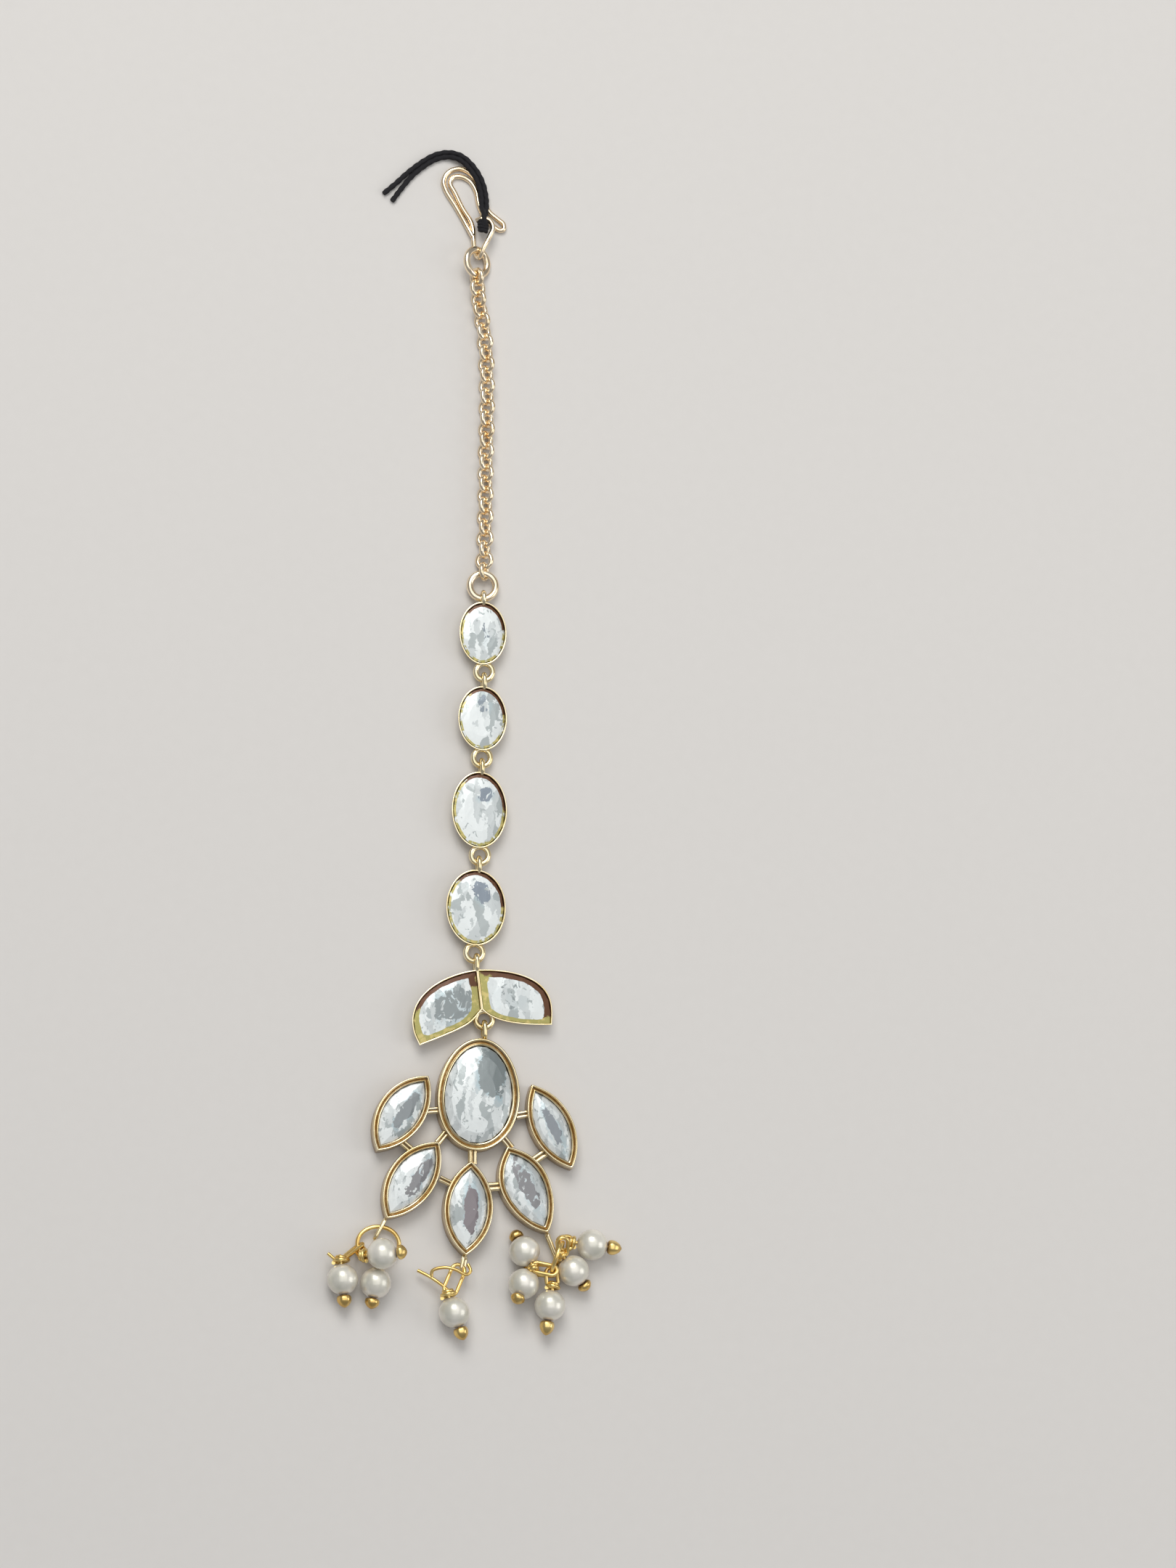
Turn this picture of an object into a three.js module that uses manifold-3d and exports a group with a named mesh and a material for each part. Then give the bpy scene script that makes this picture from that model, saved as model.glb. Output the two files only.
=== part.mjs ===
// A forehead pendant lying face up on a flat surface: hook and thread, chain, four oval stones,
// a pair of leaves, and a fan of six stones with nine pearls hanging from it.
// Millimetres. X runs to the right, Y towards the hook, Z up from the surface.
import * as THREE from "three";
import { mergeVertices } from "three/addons/utils/BufferGeometryUtils.js";
import Module from "manifold-3d";

const wasm = await Module();
wasm.setup();

// The drawing's zero lies on the chain's line. The whole jewel moves by this to have its middle at zero.
const MIDDLE = { x: 0.03, y: -1.44 };

const X_AXIS = new THREE.Vector3(1, 0, 0);
const Y_AXIS = new THREE.Vector3(0, 1, 0);
const Z_AXIS = new THREE.Vector3(0, 0, 1);

// Wires
const WIRE_SIDES = 6;
const FINE_WIRE_SIDES = 5;
const LOOP_RINGS = 10;
const JUMP_RING_RINGS = 12;
const HOOK_WIRE = 0.66;
const HOOK_STEPS = { bend: 40, eye: 17 };
const BAIL_WIRE = 0.66;
const PIN_WIRE = 0.42;
const STRAY_WIRE = 0.38;
const TIP_LOOP_WIRE = 0.42;
const DROP_RING_WIRE = 0.55;

// Flat rings and bails lie at this height, so that a bail passes under a ring without touching the surface.
const LINK_HEIGHT = 1.16;
const FLAT_RING = { radius: 1.12, wire: 0.74 };
const BAIL_RADIUS = 0.8;
const BAIL_GAP = 0.07;
const BAIL_SEAT = 0.08;
const RING_BELOW_CUP = 0.85;

// Jump rings: centre and size of the wire's middle line, and lean about Y
const HOOK_RING = { x: 0.36, y: 66.49, z: 1.38, radius: 1.78, wire: 0.78, lean: 32 };
const CHAIN_RING = { x: 1.16, y: 22.4, radius: 1.72, wire: 0.8 };

// Chain links: size of the hole and the wire. The pitch is a little more than the hole's length,
// so that neighbours are joined where they bear on each other.
const LINK = { count: 28, holeWidth: 0.98, wire: 0.53, bite: 0.18 };
const CHAIN_ROLL = { first: -58, middle: -45, last: 0, over: 6 };
const CHAIN_ROUTE = [
  [0.36, 64.5, 1.38], [0.65, 61.3, 1.02], [1.16, 58.35, 0.86], [1.54, 55.39, 0.85], [1.73, 50.7, 0.85],
  [1.73, 45.0, 0.85], [1.6, 39.39, 0.85], [1.53, 33.03, 0.85], [1.46, 28.5, 0.95], [1.34, 24.37, 1.16],
];

// Flared cups
const CUP = { height: 2.0, flare: 0.75, rim: 0.28, slope: 0.62, floor: 0.5 };
const OVAL_SIDES = 20;
const OVALS = [
  { x: 1.09, y: 15.89, width: 6.25, height: 8.4, ringX: 1.35, bailX: 1.22 },
  { x: 1.03, y: 4.46, width: 6.45, height: 8.55, ringX: 1.04, bailX: 1.3 },
  { x: 0.61, y: -7.76, width: 7.28, height: 10.1, ringX: 0.77, bailX: 1.0 },
  { x: 0.16, y: -20.72, width: 7.83, height: 9.98, ringX: 0.04, bailX: 0.62 },
];
// A cup's stone: inset and height of its base and girdle, and its table's share of the girdle
const CUP_STONE = {
  base: { inset: 0.9, z: 0.56 },
  girdle: { inset: 0.6, z: 1.3 },
  crown: [{ scale: 0.62, z: 1.72 }],
  gap: 0.06,
};
// The pair of leaves share the wall from top to inner.
const LEAVES = {
  top: [0.32, -28.9],
  inner: [0.95, -34.15],
  tip: { left: [-7.24, -39.01], right: [10.13, -35.94] },
  steps: 7,
};
const LEAF_RING = { x: 1.32, y: -35.31, bailX: 0.3 };

// The fan's upright bezels, as steps of the wall's section: inset from the outline, and height
const BEZEL_STEPS = [
  { inset: 0, z: 0 },
  { inset: 0, z: 2.1 },
  { inset: 0.12, z: 2.35 },
  { inset: 0.38, z: 2.35 },
  { inset: 0.55, z: 1.8 },
  { inset: 0.95, z: 1.8 },
  { inset: 1.0, z: 0.6 },
];
const FAN_OVAL = { x: 0.47, y: -45.27, width: 10.8, height: 14.7, turn: -4, egg: 0.05 };
const FAN_OVAL_SIDES = 24;
const FAN_BAIL_SEAT = 0.05;
const TIP_LOOP_SEAT = 0.1;
const PETAL_ARC_STEPS = 6;
const FAN_STONE = {
  base: { inset: 1.0, z: 0.66 },
  girdle: { inset: 1.0, z: 1.5 },
  crown: [{ scale: 0.78, z: 2.25 }, { scale: 0.4, z: 2.7 }],
  gap: 0.06,
};
const PETAL_STONE = {
  base: { inset: 1.0, z: 0.66 },
  girdle: { inset: 1.0, z: 1.5 },
  crown: [{ scale: 0.5, z: 2.15 }],
  gap: 0.06,
};
// Each petal runs from its inner tip to its outer tip, with a bulge on its west and its east side.
// A lean moves the bulges towards the inner tip, by that share of half the length at most.
const PETALS = [
  { fromX: -6.08, fromY: -42.99, toX: -12.74, toY: -52.88, west: 3.3, east: 2.85 },
  { fromX: -4.69, fromY: -51.56, toX: -11.49, toY: -61.6, west: 3.3, east: 2.85 },
  { fromX: -0.49, fromY: -53.98, toX: -1.19, toY: -66.23, west: 3.25, east: 3.2 },
  { fromX: 4.21, fromY: -52.0, toX: 9.48, toY: -63.09, west: 3.3, east: 3.15, lean: 0.1 },
  { fromX: 7.42, fromY: -43.84, toX: 12.71, toY: -54.74, west: 2.75, east: 2.85 },
];
// Short soldered bars between neighbouring bezels
const LUG = { bottom: 0.7, top: 1.55 };
const LUGS = [
  { x: -5.38, y: -47.36, length: 1.5, width: 0.85, turn: 5 },
  { x: -8.87, y: -52.0, length: 1.6, width: 0.95, turn: -40 },
  { x: -4.24, y: -50.93, length: 1.7, width: 0.9, turn: 50 },
  { x: -0.21, y: -53.31, length: 1.9, width: 1.15, turn: 90 },
  { x: -3.8, y: -56.48, length: 1.5, width: 0.8, turn: -25 },
  { x: 2.59, y: -57.13, length: 1.6, width: 1.15, turn: 5 },
  { x: 4.3, y: -51.34, length: 1.9, width: 0.9, turn: -50 },
  { x: 6.3, y: -47.7, length: 1.6, width: 1.0, turn: 10 },
  { x: 8.5, y: -53.18, length: 2.5, width: 1.1, turn: 35 },
];
// Wire loops at three petal tips, each around a ring or an eye whose wire runs along "through"
const TIP_LOOPS = [
  { petal: 1, endX: -12.9, endY: -64.1, z: 0.9, width: 1.1, through: [1, 0.25, 0] },
  { petal: 2, endX: -1.55, endY: -68.12, z: 1.1, width: 1.15, through: [0.9, 0, 0.45] },
  { petal: 3, endX: 11.12, endY: -67.0, z: 0.9, width: 1.2, through: [0.36, 0.93, 0] },
];

const LEFT_RING = { x: -12.4, y: -64.7, z: 0.86, across: 2.7, along: 2.2 };
const RIGHT_RING = { x: 10.6, y: -66.3, z: 2.85, radius: 2.0, turn: 69, lean: 80 };

// Pearls lie on the surface or on each other. tip is the direction from the pearl to its gold bead,
// reach is how far the bead's end lies from the pearl's middle, eye is where the wire's eye ends,
// and through is the direction of the wire that passes the eye.
const PEARL = { diameter: 4.0, hole: 0.66, sides: 12, bands: 6 };
// A tip bead is turned about the pin: radius, and share of the way from the pearl to the bead's end
const TIP_BEAD = [
  { radius: 0, share: 0 },
  { radius: 0.6, share: 0 },
  { radius: 0.92, share: 0.3 },
  { radius: 0.82, share: 0.6 },
  { radius: 0.4, share: 0.92 },
  { radius: 0, share: 1 },
];
const TIP_BEAD_GAP = 0.03;
const TIP_BEAD_SIDES = 8;
const PIN_END_SHARE = 0.8;
const COLLAR = { gap: 0.08, length: 0.45, diameter: 0.95, eyeFrom: 0.36 };
const PEARLS = [
  { x: -17.15, y: -69.5, z: 2.02, tip: [0.09, -1, 0], reach: 3.65,
    eye: [-14.5, -64.72, 0.6], width: 1.15, through: [0, 1, 0] },
  { x: -12.88, y: -69.9, z: 2.02, tip: [-0.18, -1, 0], reach: 3.4,
    eye: [-12.4, -66.4, 0.34], width: 1.12, through: [1, 0, 0] },
  { x: -12.3, y: -66.4, z: 4.28, tip: [0.9, 0.06, 0.42], reach: 3.3,
    eye: [-14.85, -65.3, 0.34], width: 1.12, through: [0.5, -0.87, 0] },
  { x: -2.68, y: -73.55, z: 2.02, tip: [0.33, -0.94, 0], reach: 3.75,
    eye: [-1.75, -67.35, 1.15], width: 1.75, through: [0, 0, 1] },
  { x: 6.46, y: -65.54, z: 2.02, tip: [-0.4, 0.9, -0.45], reach: 3.35,
    eye: [10.45, -68.2, 3.3], width: 1.25, through: [0, 0, 1] },
  { x: 6.34, y: -69.73, z: 2.02, tip: [-0.42, -0.9, 0.45], reach: 3.2,
    eye: [10.68, -68.04, 1.9], width: 1.35, through: [0, 0, 1] },
  { x: 9.76, y: -72.49, z: 2.02, tip: [-0.15, -0.99, 0], reach: 3.9,
    eye: [9.85, -67.6, 2.5], width: 1.5, through: [0, 0, 1] },
  { x: 12.85, y: -67.95, z: 2.02, tip: [0.62, -0.75, -0.2], reach: 3.2,
    eye: [11.2, -63.9, 3.7], width: 1.3, through: [0, 0, 1] },
  { x: 15.29, y: -64.56, z: 2.02, tip: [0.99, -0.12, 0], reach: 3.9,
    eye: [10.7, -64.5, 2.2], width: 1.7, through: [0, 0, 1] },
];
// Wire ends that stand out from a pin's collar, numbered by pearl
const STRAY_ENDS = [
  { pearl: 1, points: [[-17.35, -67.2, 2.1], [-18.1, -67.0, 2.4], [-19.1, -66.2, 2.3]] },
  { pearl: 4, points: [[-3.2, -71.0, 2.0], [-4.21, -70.07, 1.9], [-5.77, -68.97, 1.6],
    [-7.36, -68.11, 1.3]] },
  { pearl: 4, points: [[-5.6, -69.0, 1.65], [-5.5, -68.2, 1.9], [-4.0, -67.8, 2.3], [-2.5, -68.1, 2.45],
    [-1.2, -68.7, 2.4], [-0.6, -68.2, 2.2], [-0.9, -67.3, 1.95]] },
];

// The hook's wire: up its outer side, round its top, down to the free end and back inside
const HOOK_BEND = [
  [-0.13, 70.26, 0.75], [-1.06, 72.13, 0.4], [-2.33, 74.4, 0.34], [-3.7, 76.65, 0.34], [-4.0, 77.85, 0.34],
  [-3.41, 79.09, 0.34], [-1.94, 79.71, 0.34], [-0.5, 79.2, 0.34], [0.75, 77.6, 0.34], [1.45, 75.5, 0.34],
  [2.1, 74.0, 0.34], [3.3, 72.95, 0.36], [4.05, 72.3, 0.4], [4.1, 71.55, 0.42], [3.5, 71.4, 0.42],
  [2.55, 72.1, 0.38], [1.5, 73.15, 0.34], [0.75, 74.9, 0.34], [0.4, 76.65, 0.34], [-0.4, 78.0, 0.34],
  [-1.55, 78.6, 0.34], [-2.72, 78.45, 0.34], [-3.1, 77.6, 0.34], [-2.45, 76.3, 0.34], [-1.45, 74.24, 0.34],
  [-0.62, 72.95, 0.36],
];
const HOOK_EYE = [
  [-0.9, 73.4, 0.34], [-0.35, 72.45, 0.4], [-0.05, 71.3, 0.5], [0.0, 69.9, 0.58], [0.2, 68.3, 0.58],
  [0.62, 67.22, 1.24], [1.12, 68.3, 1.88], [1.95, 69.93, 1.86], [2.45, 71.28, 1.85], [1.95, 72.35, 1.8],
  [1.04, 72.55, 1.7], [0.25, 72.3, 1.35],
];

// The thread's two strands run side by side: their middle line, and half the distance between them.
const THREAD = { diameter: 0.55, steps: 48, sides: 8 };
const STRAND_ROUTE = [
  { x: -11.5, y: 75.3, z: 0.3, half: 0.75 },
  { x: -10.0, y: 77.0, z: 0.3, half: 0.5 },
  { x: -8.4, y: 78.75, z: 0.3, half: 0.36 },
  { x: -6.25, y: 80.5, z: 0.3, half: 0.31 },
  { x: -4.9, y: 81.25, z: 0.32, half: 0.31 },
  { x: -3.41, y: 81.55, z: 0.5, half: 0.31 },
  { x: -1.98, y: 81.2, z: 0.8, half: 0.31 },
  { x: -0.94, y: 80.4, z: 1.0, half: 0.31 },
  { x: 0.22, y: 79.0, z: 1.02, half: 0.31 },
  { x: 1.0, y: 77.3, z: 1.02, half: 0.31 },
  { x: 1.36, y: 75.4, z: 1.04, half: 0.31 },
  { x: 1.36, y: 74.2, z: 1.15, half: 0.31 },
];
// Where the thread turns back round the top of the hook's eye
const THREAD_TURN = [[1.15, 73.3, 2.0], [1.2, 72.5, 2.42], [1.22, 71.55, 2.25], [1.25, 71.1, 1.65],
  [1.28, 71.6, 1.05], [1.4, 72.5, 1.0]];
const KNOT = { x: 1.25, y: 71.1, z: 1.65, radius: 0.58, wire: 0.42 };

const GOLD = new THREE.MeshStandardMaterial({ color: 0xc9a25e, roughness: 0.3, metalness: 1 });
const BRASS = new THREE.MeshStandardMaterial({ color: 0xc9a227, roughness: 0.3, metalness: 1 });
const GLASS = new THREE.MeshStandardMaterial({ color: 0xcfd2d3, roughness: 0.1, metalness: 0.2 });
const PEARL_COAT = new THREE.MeshStandardMaterial({ color: 0xe8e2d2, roughness: 0.25, metalness: 0 });
const THREAD_COAT = new THREE.MeshStandardMaterial({ color: 0x0b090d, roughness: 0.9, metalness: 0 });

const radians = THREE.MathUtils.degToRad;

// Solids: closed meshes with shared vertices, and joins and cuts between them

function signedVolume(geometry) {
  const position = geometry.getAttribute("position");
  const corner = [new THREE.Vector3(), new THREE.Vector3(), new THREE.Vector3()];
  let volume = 0;
  for (let i = 0; i < geometry.index.count; i += 3) {
    corner.forEach((c, k) => c.fromBufferAttribute(position, geometry.index.getX(i + k)));
    volume += corner[0].dot(corner[1].cross(corner[2])) / 6;
  }
  return volume;
}

function welded(geometry) {
  geometry.deleteAttribute("normal");
  geometry.deleteAttribute("uv");
  const merged = mergeVertices(geometry, 1e-4);
  const kept = [];
  for (let i = 0; i < merged.index.count; i += 3) {
    const [a, b, c] = [0, 1, 2].map((k) => merged.index.getX(i + k));
    if (a !== b && b !== c && c !== a) kept.push(a, b, c);
  }
  merged.setIndex(kept);
  if (signedVolume(merged) < 0) merged.setIndex(kept.reverse());
  return merged;
}

function solidOf(geometry) {
  const closed = welded(geometry);
  const mesh = new wasm.Mesh({
    numProp: 3,
    vertProperties: new Float32Array(closed.getAttribute("position").array),
    triVerts: new Uint32Array(closed.index.array),
  });
  return new wasm.Manifold(mesh);
}

function geometryOf(solid) {
  const mesh = solid.getMesh();
  const geometry = new THREE.BufferGeometry();
  geometry.setAttribute("position", new THREE.BufferAttribute(mesh.vertProperties, 3));
  geometry.setIndex(new THREE.BufferAttribute(mesh.triVerts, 1));
  return geometry;
}

function fused(geometries) {
  return geometryOf(geometries.map(solidOf).reduce((whole, piece) => whole.add(piece)));
}

function cut(geometry, tools) {
  return geometryOf(tools.map(solidOf).reduce((whole, tool) => whole.subtract(tool), solidOf(geometry)));
}

// Walls: rings of points lofted into one closed body with flat ends

function loft(rings) {
  const count = rings[0].length;
  const index = [];
  for (let row = 0; row < rings.length - 1; row++) {
    for (let i = 0; i < count; i++) {
      const next = (i + 1) % count;
      const [a, b] = [row * count + i, row * count + next];
      index.push(a, b, b + count, a, b + count, a + count);
    }
  }
  const flat = (ring) => ring.map((p) => new THREE.Vector2(p.x, p.y));
  const last = (rings.length - 1) * count;
  for (const face of THREE.ShapeUtils.triangulateShape(flat(rings[0]), [])) {
    index.push(face[2], face[1], face[0]);
  }
  for (const face of THREE.ShapeUtils.triangulateShape(flat(rings.at(-1)), [])) {
    index.push(last + face[0], last + face[1], last + face[2]);
  }
  const geometry = new THREE.BufferGeometry().setFromPoints(rings.flat());
  geometry.setIndex(index);
  return geometry;
}

// An outline moved inwards by a distance, each corner along its mitre
function inset(outline, distance) {
  const count = outline.length;
  return outline.map((point, i) => {
    const before = point.clone().sub(outline[(i + count - 1) % count]).normalize();
    const after = outline[(i + 1) % count].clone().sub(point).normalize();
    const inwards = new THREE.Vector2(-before.y - after.y, before.x + after.x).normalize();
    const mitre = distance / Math.max(0.4, inwards.dot(new THREE.Vector2(-after.y, after.x)));
    return point.clone().addScaledVector(inwards, mitre);
  });
}

const lifted = (outline, z) => outline.map((p) => new THREE.Vector3(p.x, p.y, z));

function ovalOutline({ x, y, width, height, turn = 0, egg = 0 }, sides) {
  const centre = new THREE.Vector2(x, y);
  return Array.from({ length: sides }, (_, i) => {
    const angle = (i / sides) * 2 * Math.PI;
    const across = (width / 2) * Math.cos(angle) * (1 - egg * Math.sin(angle));
    const point = new THREE.Vector2(across, (height / 2) * Math.sin(angle));
    return point.rotateAround(new THREE.Vector2(), radians(turn)).add(centre);
  });
}

// A leaf between two tips, each side a circular arc of the given bulge
function petalOutline({ fromX, fromY, toX, toY, west, east, lean = 0 }, steps) {
  const from = new THREE.Vector2(fromX, fromY);
  const to = new THREE.Vector2(toX, toY);
  const half = from.distanceTo(to) / 2;
  const along = to.clone().sub(from).normalize();
  const eastwards = new THREE.Vector2(-along.y, along.x);
  const middle = from.clone().add(to).multiplyScalar(0.5);
  const arc = (bulge, side) => {
    const radius = (half * half + bulge * bulge) / (2 * bulge);
    const reach = Math.asin(half / radius);
    return Array.from({ length: steps }, (_, i) => {
      const angle = side * reach * (1 - (2 * i) / steps);
      const out = radius * Math.cos(angle) - radius + bulge;
      const share = (radius * Math.sin(angle)) / half;
      const slip = lean * (1 - share * share) * (out / bulge);
      return middle
        .clone()
        .addScaledVector(along, half * (share - slip))
        .addScaledVector(eastwards, side * out);
    });
  };
  return [...arc(west, -1), ...arc(east, 1)];
}

function cup(outline) {
  return loft([
    lifted(inset(outline, CUP.flare), 0),
    lifted(outline, CUP.height),
    lifted(inset(outline, CUP.rim), CUP.height),
    lifted(inset(outline, CUP.rim + CUP.slope), CUP.floor),
  ]);
}

function bezel(outline) {
  return loft(BEZEL_STEPS.map((step) => lifted(inset(outline, step.inset), step.z)));
}

// A stone shrinks towards its middle above its girdle: one or two rows of facets and a flat table.
function stone(outline, { base, girdle, crown, gap }) {
  const middle = outline
    .reduce((sum, p) => sum.add(p), new THREE.Vector2())
    .divideScalar(outline.length);
  const edge = inset(outline, girdle.inset + gap);
  const rows = crown.map((row) => lifted(edge.map((p) => p.clone().lerp(middle, 1 - row.scale)), row.z));
  return loft([lifted(inset(outline, base.inset + gap), base.z), lifted(edge, girdle.z), ...rows]);
}

// Wires

function wireSection(diameter, sides) {
  const corners = Array.from({ length: sides }, (_, i) => {
    const angle = (i / sides) * 2 * Math.PI;
    return new THREE.Vector2(Math.cos(angle), Math.sin(angle)).multiplyScalar(diameter / 2);
  });
  return new THREE.Shape(corners);
}

function bentWire(points, diameter, steps, sides = WIRE_SIDES) {
  const path = new THREE.CatmullRomCurve3(points.map((p) => new THREE.Vector3(...p)), false, "centripetal");
  return new THREE.ExtrudeGeometry(wireSection(diameter, sides), { steps, extrudePath: path });
}

function placed(geometry, side, along, position) {
  const basis = new THREE.Matrix4().makeBasis(side, along, side.clone().cross(along));
  return geometry.applyMatrix4(basis.setPosition(position));
}

// A closed oval of wire from start to end, turned so that another wire can pass it along "through"
function wireLoop({ start, end, width, wire, through }) {
  const radius = width / 2;
  const along = end.clone().sub(start);
  const stretch = Math.max(0, along.length() / 2 - radius);
  const geometry = new THREE.TorusGeometry(radius, wire / 2, FINE_WIRE_SIDES, LOOP_RINGS);
  geometry.rotateZ(Math.PI / LOOP_RINGS);
  const position = geometry.getAttribute("position");
  for (let i = 0; i < position.count; i++) {
    const y = position.getY(i);
    position.setY(i, y + Math.sign(y) * stretch);
  }
  along.normalize();
  const side = along.clone().cross(through).normalize();
  return placed(geometry, side, along, start.clone().lerp(end, 0.5));
}

function flatRing({ x, y, z = LINK_HEIGHT, radius, wire }) {
  return new THREE.TorusGeometry(radius, wire / 2, FINE_WIRE_SIDES, LOOP_RINGS).translate(x, y, z);
}

const jumpRing = (radius, wire) => new THREE.TorusGeometry(radius, wire / 2, WIRE_SIDES, JUMP_RING_RINGS);

// An upright bail from a setting's wall round the wire of the ring above it
function bail(x, wallY, ringWireY, ringWire) {
  return wireLoop({
    start: new THREE.Vector3(x, wallY, LINK_HEIGHT),
    end: new THREE.Vector3(x, ringWireY + ringWire / 2 + BAIL_GAP + BAIL_WIRE / 2, LINK_HEIGHT),
    width: 2 * BAIL_RADIUS,
    wire: BAIL_WIRE,
    through: X_AXIS,
  });
}

// The jewel: one named mesh for each piece

const jewel = new THREE.Group();
jewel.position.set(MIDDLE.x, MIDDLE.y, 0);

function addPiece(name, geometry, material) {
  const mesh = new THREE.Mesh(welded(geometry), material);
  mesh.name = name;
  jewel.add(mesh);
  return mesh;
}

function addHook() {
  const bend = bentWire(HOOK_BEND, HOOK_WIRE, HOOK_STEPS.bend);
  const eye = bentWire(HOOK_EYE, HOOK_WIRE, HOOK_STEPS.eye);
  addPiece("hook", fused([bend, eye]), GOLD);
  const ring = jumpRing(HOOK_RING.radius, HOOK_RING.wire);
  ring.rotateY(radians(HOOK_RING.lean)).translate(HOOK_RING.x, HOOK_RING.y, HOOK_RING.z);
  addPiece("hook_ring", ring, GOLD);
}

function strand(sign) {
  return STRAND_ROUTE.map((point, i) => {
    const before = STRAND_ROUTE[Math.max(0, i - 1)];
    const after = STRAND_ROUTE[Math.min(STRAND_ROUTE.length - 1, i + 1)];
    const along = new THREE.Vector2(after.x - before.x, after.y - before.y).normalize();
    return [point.x - sign * along.y * point.half, point.y + sign * along.x * point.half, point.z];
  });
}

function addThread() {
  const route = [...strand(-1), ...THREAD_TURN, ...strand(1).reverse()];
  addPiece("hair_thread", bentWire(route, THREAD.diameter, THREAD.steps, THREAD.sides), THREAD_COAT);
  addPiece("thread_knot", flatRing(KNOT), THREAD_COAT);
}

// The links roll by a quarter turn from one to the next. The roll of the whole chain changes near its
// ends, so that the first link stands square to the leaning ring and the last one to the flat ring.
function linkRoll(i) {
  const start = THREE.MathUtils.lerp(CHAIN_ROLL.first, CHAIN_ROLL.middle, Math.min(1, i / CHAIN_ROLL.over));
  const toEnd = (LINK.count - 1 - i) / CHAIN_ROLL.over;
  const roll = toEnd < 1 ? THREE.MathUtils.lerp(CHAIN_ROLL.last, CHAIN_ROLL.middle, toEnd) : start;
  return radians(roll + 90 * (i % 2));
}

function addChain() {
  const route = new THREE.CatmullRomCurve3(CHAIN_ROUTE.map((p) => new THREE.Vector3(...p)));
  const pitch = route.getLength() / (LINK.count - 1);
  const reach = (pitch - LINK.bite + LINK.wire) / 2;
  const links = Array.from({ length: LINK.count }, (_, i) => {
    const at = i / (LINK.count - 1);
    const centre = route.getPointAt(at);
    const along = route.getTangentAt(at);
    const level = along.clone().cross(Z_AXIS).normalize();
    const upwards = level.clone().cross(along);
    const roll = linkRoll(i);
    return wireLoop({
      start: centre.clone().addScaledVector(along, -reach),
      end: centre.clone().addScaledVector(along, reach),
      width: LINK.holeWidth + LINK.wire,
      wire: LINK.wire,
      through: upwards.multiplyScalar(Math.cos(roll)).addScaledVector(level, -Math.sin(roll)),
    });
  });
  addPiece("chain", fused(links), GOLD);
  const ring = jumpRing(CHAIN_RING.radius, CHAIN_RING.wire);
  addPiece("chain_ring", ring.translate(CHAIN_RING.x, CHAIN_RING.y, LINK_HEIGHT), GOLD);
}

function addOvals() {
  let ringWire = { y: CHAIN_RING.y - CHAIN_RING.radius, wire: CHAIN_RING.wire };
  const wallShift = CUP.flare * (1 - LINK_HEIGHT / CUP.height);
  OVALS.forEach((oval, i) => {
    const outline = ovalOutline(oval, OVAL_SIDES);
    const top = oval.y + oval.height / 2 - wallShift + BAIL_SEAT;
    const ringY = oval.y - oval.height / 2 - RING_BELOW_CUP;
    const setting = fused([
      cup(outline),
      flatRing({ x: oval.ringX, y: ringY, ...FLAT_RING }),
      bail(oval.bailX, top, ringWire.y, ringWire.wire),
    ]);
    addPiece(`oval_setting_${i + 1}`, setting, GOLD);
    const facetCorners = outline.filter((_, k) => k % 2 === 0);
    addPiece(`oval_stone_${i + 1}`, stone(facetCorners, CUP_STONE), GLASS);
    ringWire = { y: ringY - FLAT_RING.radius, wire: FLAT_RING.wire };
  });
  return ringWire;
}

function leafShape(side) {
  const shape = new THREE.Shape();
  const { top, inner, tip } = LEAVES;
  if (side === "left") {
    shape.moveTo(...top);
    shape.bezierCurveTo(-3.9, -29.6, -8.0, -31.9, -8.2, -35.7);
    shape.lineTo(-7.95, -37.4);
    shape.lineTo(...tip.left);
    shape.lineTo(-4.4, -37.85);
    shape.lineTo(-1.74, -36.61);
    shape.lineTo(-0.4, -35.72);
    shape.lineTo(...inner);
  } else {
    shape.moveTo(...inner);
    shape.bezierCurveTo(2.6, -35.9, 6.5, -36.1, ...tip.right);
    shape.lineTo(10.18, -34.2);
    shape.bezierCurveTo(10.2, -30.2, 6.2, -28.6, ...top);
  }
  return shape.getPoints(LEAVES.steps);
}

// One flared cup for both leaves, with a pocket cut for each stone and the wall between them left
function leafCup(outlines) {
  const both = [...outlines.left, ...outlines.right.slice(1, -1)];
  const body = loft([lifted(inset(both, CUP.flare), 0), lifted(both, CUP.height)]);
  const pockets = Object.values(outlines).map((outline) => loft([
    lifted(inset(outline, CUP.rim + CUP.slope), CUP.floor),
    lifted(inset(outline, CUP.rim), CUP.height),
    lifted(inset(outline, CUP.rim), CUP.height + 1),
  ]));
  return cut(body, pockets);
}

function addLeaves(ringWire) {
  const wallShift = CUP.flare * (1 - LINK_HEIGHT / CUP.height);
  const outlines = { left: leafShape("left"), right: leafShape("right") };
  const setting = fused([
    leafCup(outlines),
    flatRing({ x: LEAF_RING.x, y: LEAF_RING.y, ...FLAT_RING }),
    bail(LEAF_RING.bailX, LEAVES.top[1] - wallShift + BAIL_SEAT, ringWire.y, ringWire.wire),
  ]);
  addPiece("leaf_setting", setting, GOLD);
  for (const [side, outline] of Object.entries(outlines)) {
    addPiece(`leaf_stone_${side}`, stone(outline, CUP_STONE), GLASS);
  }
}

function lug({ x, y, length, width, turn }) {
  const bar = new THREE.BoxGeometry(length, width, LUG.top - LUG.bottom);
  return bar.rotateZ(radians(turn)).translate(x, y, (LUG.top + LUG.bottom) / 2);
}

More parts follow.
